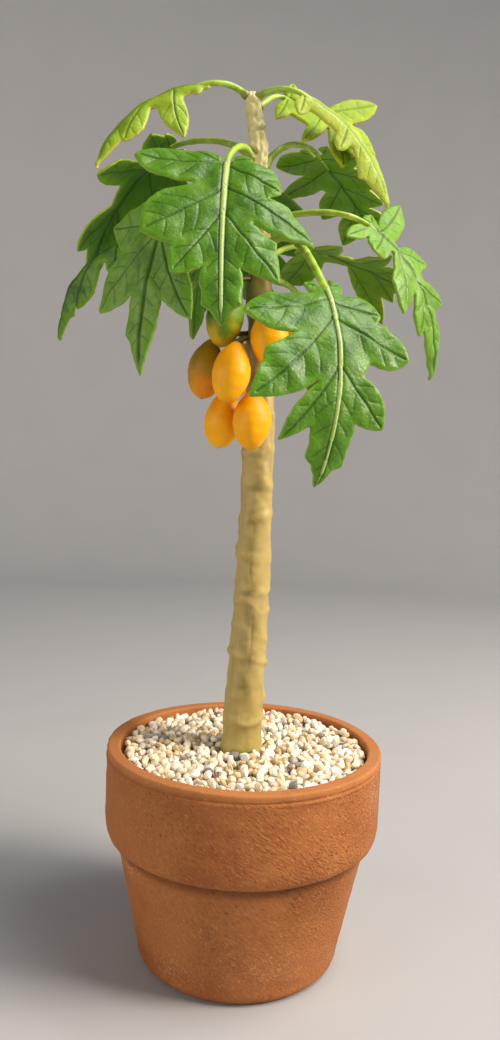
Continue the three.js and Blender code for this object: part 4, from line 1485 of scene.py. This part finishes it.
        # The face swells between the veins, is pressed in along them, and sags between rib and rim
        top = self.pillow * (1.0 - bell(np.minimum(main_gap, vein_gap), self.pillow_width))
        top += 0.12 * bell(rib_gap - 1.0, 0.45) * fade - self.rib_depth * rib - self.vein_depth * vein
        share = main_gap / (main_gap + rim_gap + 1.0)
        sag = -self.droop * share ** 2 + self.uneven * waves(flat, 14.0, 100 + self.seed)
        none = np.zeros_like(s)
        if self.midrib is Midrib.RAISED:
            radius = self.midrib_radius(s)
            beyond = np.abs(w) - radius
            round_top = np.sqrt(np.maximum(radius ** 2 - w ** 2, 0.0))
            top += round_top * 0.8 - 0.26 * bell(beyond - 0.35, 0.3) * fade
            ridge = smooth(-beyond, -0.12, 0.12)
            groove = bell(beyond - 0.3, 0.3) * fade * 0.8
        else:
            ridge = none
            ending = smooth(s, 0.88 * self.length, self.MIDRIB_END * self.length)
            groove = bell(w, 0.75) * fade * (1.0 - ending)
            top -= 0.7 * groove
        # The lower face stands out below the veins, and the rim thins to a round edge
        beneath = -0.3 * (rib + 0.6 * vein) - 0.55 * bell(w, 0.9) * fade
        round_rim = 0.2 + 0.8 * np.sqrt(1.0 - (1.0 - np.minimum(rim_gap / self.rim_round, 1.0)) ** 2)
        half = 0.5 * self.thickness * round_rim
        upper = self.to_space(flat, half + top * smooth(rim_gap, 0.0, 0.9) + sag)
        lower = self.to_space(flat, sag - half + beneath)
        edges = {(int(a), int(b)) for tri in triangles for a, b in zip(tri, np.roll(tri, -1))}
        count = len(flat)
        walls = [[b, a, a + count, b + count] for a, b in edges if (b, a) not in edges]
        faces = [*triangles.tolist(), *(triangles[:, ::-1] + count).tolist(), *walls]
        # Painted shade: the veins' mark darkens the veins and the grooves along and beside the midrib on
        # both faces
        shade = np.maximum.reduce([rib * 0.9, vein * 0.65, groove])
        marks = {"vein": (shade, shade * 0.85), "ridge": (ridge, none), "under": (none, none + 0.85),
                 "rim": (bell(rim_gap, 0.32) * 0.8,) * 2, "margin": (bell(rim_gap, 3.0) * 0.7,) * 2}
        piece(f"{self.name}_leaf", np.vstack([upper, lower]), faces, finish,
              [f"{self.name}_blade"], {name: np.concatenate(pair) for name, pair in marks.items()})

    def build_stalk(self, trunk: Trunk, finish: bpy.types.Material) -> None:
        """Sweeps the stalk from the trunk to the blade and lets it run out along the midrib.

        Args:
            trunk: The trunk that it grows from.
            finish: The stalk's material.
        """
        side, rise = math.radians(self.stalk.side), math.radians(self.stalk.rise)
        way = np.array([math.cos(side), math.sin(side), 0.0])
        start = trunk.centre(self.stalk.root)[0] + way * (float(trunk.radius(self.stalk.root)) + 0.45)
        leaving = way * math.cos(rise) + np.array([0.0, 0.0, math.sin(rise)])
        ahead = self.frames(np.zeros(1))[0][0]
        end = np.array(self.base)
        t = np.linspace(0.0, 1.0, 72)[:, None]
        a, b = start + leaving * self.stalk.out, end - ahead * self.stalk.back
        path = (1 - t) ** 3 * start + 3 * t * (1 - t) ** 2 * a + 3 * t ** 2 * (1 - t) * b + t ** 3 * end
        path = np.vstack([start - leaving * 1.3, start - leaving * 0.6, path])
        run = np.linspace(0.6, 9.0, 16)
        sink = np.linspace(*((0.15, -0.35) if self.midrib is Midrib.RAISED else (-0.1, -1.1)), 16)
        path = np.vstack([path, self.to_space(np.column_stack([run, np.zeros(16)]), sink)])
        from_root = np.linspace(0.0, 1.0, len(path))
        radii = self.stalk.radius * (1.12 - 0.3 * np.minimum(from_root / 0.82, 1.0))
        radii *= 1.0 + 0.35 * bell(from_root, 0.06)
        radii *= 1.0 - 0.5 * smooth(from_root, 0.82, 1.0)
        radii *= 1.0 + 0.035 * waves(path, 7.0, 400 + self.seed)
        points, faces = tube(path, radii, self.SIDES)
        rooted = np.repeat(bell(from_root, 0.07) * 0.7, self.SIDES)
        piece(f"{self.name}_petiole", points, faces, finish, [f"{self.name}_stalk"],
              {"root": np.concatenate([rooted, [0.7, 0.0]])})


def even_lobes(length: float, width: float) -> list[tuple[float, Lobe, Lobe]]:
    """Four pairs of lobes that suit a leaf of any length, for the leaves at the back.

    Args:
        length: The leaf's length.
        width: How wide the leaf is, as a share of the usual.

    Returns:
        Place, left lobe and right lobe of each pair.
    """
    shares = ((0.03, 112, 0.0, 0.12), (0.12, 84, 0.4, 0.22), (0.28, 62, 0.52, 0.24), (0.48, 44, 0.42, 0.2))
    pairs = []
    for i, (at, angle, reach, breadth) in enumerate(shares):
        long = 9.0 if i == 0 else reach * length * width
        tooth = 0.55 if i == 2 else 0.0
        pairs.append((at * length, Lobe(angle, long, breadth * length, 0.0, tooth),
                      Lobe(angle - 3, long * 0.95, breadth * length, tooth)))
    return pairs


def leaves() -> list[Leaf]:
    """Lists every leaf on the tree.

    Returns:
        The leaves, from the ones in front to the ones at the back.
    """
    return [
        Leaf("front_middle", (-16, -23.2, 350.6), -86.5, (-49, -81.5), 4, -3.5, 6.3, 79.5,
             (-9, -8), (12.8, 0), 52, 17, [
                 (1, Lobe(104, 11, 7, 0, 0, 2.6), Lobe(109, 15, 8.5, 0, 0, 2.3)),
                 (6, Lobe(64, 26, 22, 0, 0, 2.4), Lobe(92, 38, 19, 0, 0, 3)),
                 (22, Lobe(67, 43, 16, 0.6, 0), Lobe(57, 38, 27, 0, 0, 2.6)),
                 (34, Lobe(40, 36, 18, 0.6, 0), Lobe(38, 32, 17, 0, 0, 2.4))],
             Stalk(360, -142, 62, 8, 9, 1.4), Coat.GLOSSY, Midrib.RAISED, (0.7, 0.7),
             rib_radius=1.4, seed=1),
        Leaf("front_right", (24.7, -48, 296.8), -54, (-41, -113), 11.5, -11.6, 4.4, 85.3,
             (-1.5, 7.7), (-1.4, -1.2), 49.5, 17.5, [
                 (1, Lobe(116, 8, 10), Lobe(120, 9, 9)),
                 (12, Lobe(81, 19.5, 17.5, 0, 0, 3.4), Lobe(84, 36, 22.5, 0, 0.4, 2.6)),
                 (21.4, Lobe(69, 31, 16, 0.6, 0, 3.6, tooth_depth=0.3), Lobe(44, 49, 20.5, 0.6, 0)),
                 (41.5, Lobe(50, 26.5, 16, 0, 0, 2.2), Lobe(34.5, 35.5, 10.5))],
             Stalk(322, -50, 28, 18, 22, 1.8), Coat.GLOSSY, Midrib.RAISED, (0.7, 0.7),
             rib_radius=1.0, seed=2),
        Leaf("front_left", (-40, -16, 334.3), -121, (-78, -84), -5, -15, 23, 74,
             (5, 2.5), (4, 6), 28.5, 15.5, [
                 (2, Lobe(110, 12, 10), Lobe(112, 11, 9)),
                 (11.5, Lobe(75, 26, 16), Lobe(90, 31, 19.5, 0.5, 0)),
                 (15, Lobe(33, 41, 16), Lobe(42, 40.5, 20.5, 0, 0, 2.3))],
             Stalk(340, 205, 35, 14, 10, 1.4), Coat.SATIN, tip_teeth=(0, 0.6), seed=3),
        Leaf("upper_left", (-25.5, -7.2, 388.5), 186, (-5.5, -74), -15, -1.5, 19, 68,
             (53, 4), (1, 2), 36, 13, [
                 (4.5, Lobe(60, 6, 5), Lobe(112, 9.5, 6)),
                 (18.5, Lobe(78, 25, 15, 0, 0, 2.2), Lobe(80, 20, 13)),
                 (30, Lobe(19, 22.5, 12.5), Lobe(34, 21, 11))],
             Stalk(386.8, 190, 34, 6, 7, 1.3), Coat.YOUNG, tip_teeth=(0, 0.5), slot="leaf_young", seed=4),
        Leaf("upper_right_front", (13.4, -9.8, 384.6), -1, (-20.5, -79), 15.5, 10.5, 12, 64,
             (-10, 52), (2, 3), 32.5, 15.5, [
                 (3, Lobe(112, 10, 7), Lobe(95, 10, 7.5, 0, 0, 2.4)),
                 (25.5, Lobe(70, 14, 12), Lobe(79, 12, 8.5, 0, 0, 2.6))],
             Stalk(386, -25, 20, 6, 7, 1.3), Coat.YOUNG_HIGHLIGHTED, tip_teeth=(0.4, 0.4), slot="leaf_young",
             pillow=0.14, uneven=0.12, seed=5),
        Leaf("upper_right_rear", (7.2, 9, 389.8), 3, (-17, -56), 28, -3.5, 3.5, 51.5,
             (-33, 15.5), (0, 9), 34, 12, [
                 (3, Lobe(105, 11, 8), Lobe(96, 18.5, 7.5)),
                 (20.5, Lobe(71, 31.5, 11, 0, 0, 2.4), Lobe(93, 23, 7.5, 0, 0, 2.4)),
                 (26, Lobe(18, 22, 16.5), Lobe(43, 24.5, 12.5))],
             Stalk(383, 30, 45, 6, 5, 1.2), Coat.BRIGHT, slot="leaf_young", uneven=0.15, seed=6),
        Leaf("left_rear", (-43.5, 18.8, 370.2), 153, (-31, -66), 13, 6, -17.5, 78.5,
             (9, 20), (7, 3), 44, 15, [
                 (1.5, Lobe(111, 12, 8), Lobe(105, 12, 9)),
                 (8, Lobe(110, 20, 13), Lobe(78, 28, 14)),
                 (18.5, Lobe(73, 30, 14, 0, 0, 2.4), Lobe(58, 34, 16)),
                 (40.5, Lobe(30, 26.5, 12.5, 0, 0, 2.4), Lobe(38, 22, 12))],
             Stalk(361.5, 155, 46, 16, 5, 1.4), seed=7),
        Leaf("left_side", (-59.4, 5, 325.4), 175, (-15, -96), -19.5, -9, -9.5, 64.5,
             (52, 15), (3.6, 3), 35, 13, [
                 (1, Lobe(115, 9, 7), Lobe(115, 10, 8)),
                 (8, Lobe(75, 20, 12), Lobe(75, 22, 12)),
                 (19, Lobe(18, 28, 16.5), Lobe(50, 28, 13))],
             Stalk(322, 172, 26, 18, 12, 1.4), tip_teeth=(0.5, 0.5), seed=8),
        Leaf("right_side", (45, -9, 331.1), 2.5, (-31.5, -110), 25, 4.7, 35.5, 82.6,
             (-13.5, 20), (-3.5, 2), 43, 13.5, [
                 (1, Lobe(100, 10, 8), Lobe(114, 19, 7.5)),
                 (9.5, Lobe(92, 32.5, 11.5, 0, 0, 2.6), Lobe(98, 14.5, 12.5, 0, 0, 2.2)),
                 (19, Lobe(50.5, 20.5, 12, 0, 0, 2), Lobe(46.5, 28.5, 15, 0.5, 0)),
                 (36.5, Lobe(45, 19.5, 11.5), Lobe(31, 21.5, 13.5))],
             Stalk(334, -12, 12, 16, 14, 1.4), Coat.SATIN, seed=9),
        Leaf("right_rear", (24.1, 22.2, 370), 45, (-19.5, -43.5), -3, 5, -10.5, 56,
             (0, 0), (1, 2), 40, 14, [
                 (1, Lobe(138, 10, 6), Lobe(124, 9, 7)),
                 (4, Lobe(102, 25, 16, 0, 0, 2.4), Lobe(80, 20, 13)),
                 (13, Lobe(83, 36, 11), Lobe(60, 26, 14)),
                 (23.5, Lobe(62, 26, 13), Lobe(45, 20.5, 12)),
                 (37, Lobe(54, 26, 12), Lobe(40, 18, 10))],
             Stalk(358, 40, 64, 13, 13, 1.4), Coat.SUNLIT, seed=10),
        Leaf("right_low_rear", (21.7, 21.1, 327.7), 34, (-11.5, -49), -8, -18.5, -29, 52.5,
             (10, 18.5), (0.6, 0.5), 36, 13, [
                 (1, Lobe(138, 9, 6), Lobe(115, 10, 8)),
                 (4, Lobe(99, 33, 16, 0, 0, 2.4), Lobe(75, 24, 12)),
                 (22, Lobe(48, 34, 12, 0, 0, 2.4), Lobe(53, 30, 10.5)),
                 (33, Lobe(40, 17, 9), Lobe(42, 20, 11))],
             Stalk(318, 48, 38, 10, 9, 1.3), Coat.SUNLIT, seed=11),
        Leaf("left_low_rear", (-21.5, 20, 331.5), 158, (-58, -95), 0, 0, 0, 50,
             (10, 10), (2, 2), 30, 16,
             even_lobes(50, 0.75), Stalk(318, 130, 40, 9, 7, 1.4), seed=12),
        Leaf("rear_high", (-7, 34, 362.5), 90, (-32, -84), 4, 0, -12, 76,
             (10, 12), (3, 3), 48, 15,
             even_lobes(76, 1.0), Stalk(352.5, 92, 45, 14, 12, 1.5), Coat.GLOSSY, Midrib.RAISED,
             (0.5, 0.5), seed=13),
        Leaf("rear_low", (20, 40, 307), 64, (-24, -98), -6, 0, 6, 60,
             (8, 12), (3, 3), 38, 13,
             even_lobes(60, 0.9), Stalk(309, 66, 22, 12, 12, 1.5), Coat.SATIN, Midrib.RAISED,
             (0.5, 0.5), seed=14),
    ]


# Fruit


class Ripeness(Enum):
    """How ripe a fruit is painted, and the slot that goes with it."""

    GREEN = ("fruit_green", FruitSkin(
        "fruit_skin_turning", flesh="#D2AA14", blush="#DFB41A", shade="#8F9A16", crown="#66881A",
        crown_share=0.58))
    BROWN = ("fruit_brown", FruitSkin(
        "fruit_skin_half_ripe", flesh="#E08C10", blush="#E69C14", shade="#B67810", crown="#A5821A",
        crown_share=0.42))
    ORANGE = ("fruit_orange", FruitSkin(
        "fruit_skin_ripe", flesh="#F9AC04", blush="#FDBD10", shade="#E59306", crown="#E89A05",
        crown_share=0.2))


@dataclass
class Fruit:
    """One hanging fruit: its middle, how far its end swings out, and how its skin is creased."""

    name: str
    middle: tuple[float, float, float]
    ripeness: Ripeness = Ripeness.ORANGE
    tilt: float = 0.14
    creases: tuple[tuple[float, float, float], ...] = ()
    seed: int = 0
    radius: float = 8.2
    length: float = 27.0
    stem_radius: float = 1.1
    stem_rise: float = 3.0
    profile: Pairs = ((0.0, 0.0), (0.02, 0.16), (0.1, 0.42), (0.24, 0.76), (0.42, 0.97), (0.58, 1.0),
                      (0.76, 0.87), (0.9, 0.6), (0.97, 0.34), (1.0, 0.0))
    sides: int = 64
    rings: int = 64

    EASED = 14

    def build(self, trunk: Trunk, finish: bpy.types.Material) -> None:
        """Makes the fruit with its soft ribs, its creases and its stem.

        Args:
            trunk: The trunk that it hangs from.
            finish: The skin's material.
        """
        centre = np.array(self.middle)
        root = trunk.centre(centre[2] + self.length / 2)[0]
        away = unit((centre - root) * [1.0, 1.0, 0.0])
        axis = unit(away * self.tilt - np.array([0.0, 0.0, 1.0]))
        across = unit(np.cross(away, axis))
        up = np.cross(axis, across)
        crown = centre - axis * self.length / 2
        stem_root = root + away * (float(trunk.radius(root[2])) - 0.4)
        stem_root[2] = crown[2] + self.stem_rise
        # Rings lie closer at both ends, and the profile is eased so that it has no corners
        share = 0.5 - 0.5 * np.cos(np.linspace(0.04, math.pi - 0.05, self.rings))
        places, widths = np.array(self.profile).T
        fine = np.linspace(0.0, 1.0, 400)
        eased = np.pad(np.interp(fine, places, widths), self.EASED, mode="edge")
        eased = np.convolve(eased, np.full(2 * self.EASED + 1, 1.0 / (2 * self.EASED + 1)), "valid")
        eased *= np.sqrt(np.clip(fine / 0.012, 0.0, 1.0)) * np.sqrt(np.clip((1.0 - fine) / 0.03, 0.0, 1.0))
        t, angle = (grid.ravel() for grid in np.meshgrid(share, full_turn(self.sides), indexing="ij"))
        width = np.interp(t, fine, eased)
        ball = np.column_stack([np.cos(angle), np.sin(angle), 3.0 * t])
        ribs = 0.018 * np.cos(5.0 * angle + self.seed) * np.sin(math.pi * t)
        width *= 1.0 + ribs + 0.022 * waves(ball, 2.2, 500 + self.seed)
        crease = np.zeros_like(t)
        for heading, low, high in self.creases:
            off = np.angle(np.exp(1j * (angle - math.radians(heading)))) - 0.15 * np.sin(6.0 * t)
            crease = np.maximum(crease, bell(off, 0.07) * between(t, low, low + 0.1, high - 0.1, high))
        spread = self.radius * width - 0.22 * crease
        points = (crown + axis * (self.length * t)[:, None] + across * (spread * np.sin(angle))[:, None]
                  + up * (spread * np.cos(angle))[:, None])
        body = list(points.reshape(len(share), self.sides, 3))
        if np.dot(np.cross(body[20][1] - body[20][0], axis), body[20][0] - centre) > 0:
            body = [ring[::-1] for ring in body]
        bend = (crown + stem_root) / 2.0 + np.array([0.0, 0.0, self.stem_rise * 0.4])
        stem = curved(stem_root, bend, crown + axis * 0.9, 14)
        thick = self.stem_radius * (1.0 + 0.5 * bell(np.linspace(-1.0, 0.0, 14), 0.2))
        body_points, body_faces = capped(body, crown + axis * 0.02, crown + axis * self.length)
        stem_points, stem_faces = tube(stem, thick, 20)
        faces = body_faces + [[k + len(body_points) for k in face] for face in stem_faces]
        on_stem = np.concatenate([np.zeros(len(body_points)), np.ones(len(stem_points))])
        ends = np.concatenate([t, [0.0, 1.0], np.zeros(len(stem_points))])
        folded = np.concatenate([crease, np.zeros(2 + len(stem_points))])
        marks = {"crown": 1.0 - ends, "tip": smooth(ends, 0.955, 0.99) * 0.6, "stem": on_stem,
                 "crease": folded * 0.4}
        piece(f"{self.name}_skin", np.vstack([body_points, stem_points]), faces, finish,
              [self.name], marks)


def fruits() -> list[Fruit]:
    """Lists every fruit that hangs under the crown.

    Returns:
        The fruit, from the ones in front to the ones at the back.
    """
    return [
        Fruit("fruit_upper_left", (-15.2, -11.6, 290.6), Ripeness.GREEN, length=28.4, seed=1),
        Fruit("fruit_left", (-22.8, -5.0, 268.0), Ripeness.BROWN, seed=2, creases=((20, 0.5, 0.9),)),
        Fruit("fruit_middle", (-11.3, -20.5, 265.7), tilt=0.28, length=27.8, seed=3,
              creases=((15, 0.55, 0.95), (-20, 0.6, 0.9))),
        Fruit("fruit_right", (4.5, -16.5, 281.6), seed=4),
        Fruit("fruit_low_left", (-14.8, -4.8, 246.5), seed=5),
        Fruit("fruit_low_right", (-1.9, -17.0, 246.2), seed=6, creases=((10, 0.6, 0.97),)),
        Fruit("fruit_back_right", (15.5, 3.0, 276.0), seed=7),
        Fruit("fruit_back_left", (-10.2, 12.7, 270.0), seed=8),
        Fruit("fruit_back_middle", (3.0, 16.0, 286.0), Ripeness.GREEN, seed=9),
    ]


# Studio


@dataclass
class Studio:
    """The camera, the lights and the pale floor that curves up into a wall all round.

    Each of the lamps has its name, its place and width in metres, its power in watts and its colour.
    """

    eye: tuple[float, float, float] = (1.6, -383.8, 232.3)
    pitch: float = 4.59
    roll: float = 2.19
    yaw: float = -0.42
    focal: float = 850.0
    image_height: float = 1040.0
    floor_radius: float = 1100.0
    wall_round: float = 500.0
    wall_height: float = 1500.0
    aim: tuple[float, float, float] = (0.0, 0.0, 270.0)
    lamps: tuple[tuple[str, tuple[float, float, float], float, float, str], ...] = (
        ("key_lamp", (1.12, -0.3, 0.86), 0.5, 22.5, "#FFF2E0"),
        ("fill_lamp", (-1.15, -0.75, 0.4), 0.9, 8.0, "#FFF6EA"),
        ("top_lamp", (0.5, -0.16, 1.27), 0.55, 12.0, "#FFFBF2"))
    air_colour: str = "#E8EAEE"
    air_strength: float = 0.2

    def camera(self) -> None:
        """Makes the camera at the photograph's angle."""
        pitch, roll, yaw = (math.radians(a) for a in (self.pitch, self.roll, self.yaw))
        ahead = Vector((math.sin(yaw) * math.cos(pitch), math.cos(yaw) * math.cos(pitch), -math.sin(pitch)))
        level = Vector((math.cos(yaw), -math.sin(yaw), 0.0))
        upright = level.cross(ahead)
        right = level * math.cos(roll) + upright * math.sin(roll)
        up = upright * math.cos(roll) - level * math.sin(roll)
        data = bpy.data.cameras.new("camera")
        data.sensor_width = 36.0
        data.lens = self.focal / self.image_height * data.sensor_width
        data.clip_start, data.clip_end = 0.01, 20.0
        made = put("camera", data)
        turned = Matrix((right, up, -ahead)).transposed().to_4x4()
        made.matrix_world = Matrix.Translation(Vector(self.eye) * MM) @ turned
        bpy.context.scene.camera = made

    def lamp(self, name: str, place: tuple[float, float, float], size: float, power: float,
             colour: str) -> None:
        """Adds a soft lamp that points at the tree.

        Args:
            name: The lamp's name.
            place: Where it stands, in metres.
            size: Its width, in metres.
            power: Its power, in watts.
            colour: The colour of its light.
        """
        data = bpy.data.lights.new(name, "AREA")
        data.shape = "SQUARE"
        data.size = size
        data.energy = power
        data.color = linear(colour)[:3]
        made = put(name, data)
        made.location = place
        made.rotation_euler = (Vector(self.aim) * MM - Vector(place)).to_track_quat("-Z", "Y").to_euler()

    def build(self) -> None:
        """Makes the floor, the lamps and the pale surroundings."""
        turn = np.linspace(0.0, 0.5 * math.pi, 20)
        bend = np.column_stack([self.floor_radius + self.wall_round * np.sin(turn),
                                self.wall_round * (1.0 - np.cos(turn))])
        top = [self.floor_radius + self.wall_round, self.wall_height]
        points, faces = lathe(np.vstack([[0.0, 0.0], [150.0, 0.0], bend, top, [0.0, 0.0]]), ROUND_SIDES)
        last = len(points) - 1
        mesh = bpy.data.meshes.new("studio_floor")
        mesh.from_pydata((points[:-1] * MM).tolist(), [], [face[::-1] for face in faces if last not in face])
        mesh.materials.append(Plaster().build())
        mesh.shade_smooth()
        floor = put("studio_floor", mesh)
        for lamp in self.lamps:
            self.lamp(*lamp)
        world = bpy.data.worlds.new("pale_room")
        world.use_nodes = True
        air = world.node_tree.nodes["Background"].inputs
        air["Color"].default_value = linear(self.air_colour)
        air["Strength"].default_value = self.air_strength
        bpy.context.scene.world = world
        bpy.context.scene.view_settings.view_transform = "Standard"


def main() -> None:
    """Builds the dressed tree over its solids; each piece logs how many points and faces it has."""
    logging.basicConfig(level=logging.INFO, format="%(message)s")
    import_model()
    Studio().camera()
    Studio().build()
    pot, trunk = Pot(), Trunk()
    pot.build()
    Gravel(pot).build()
    trunk.build()
    coats = {coat: coat.value.build() for coat in Coat}
    stalks = RolledStalk().build()
    for leaf in leaves():
        leaf.build_blade(coats[leaf.coat])
        leaf.build_stalk(trunk, stalks)
    skins = {ripeness: ripeness.value[1].build() for ripeness in Ripeness}
    for fruit in fruits():
        fruit.build(trunk, skins[fruit.ripeness])


if __name__ == "__main__":
    main()
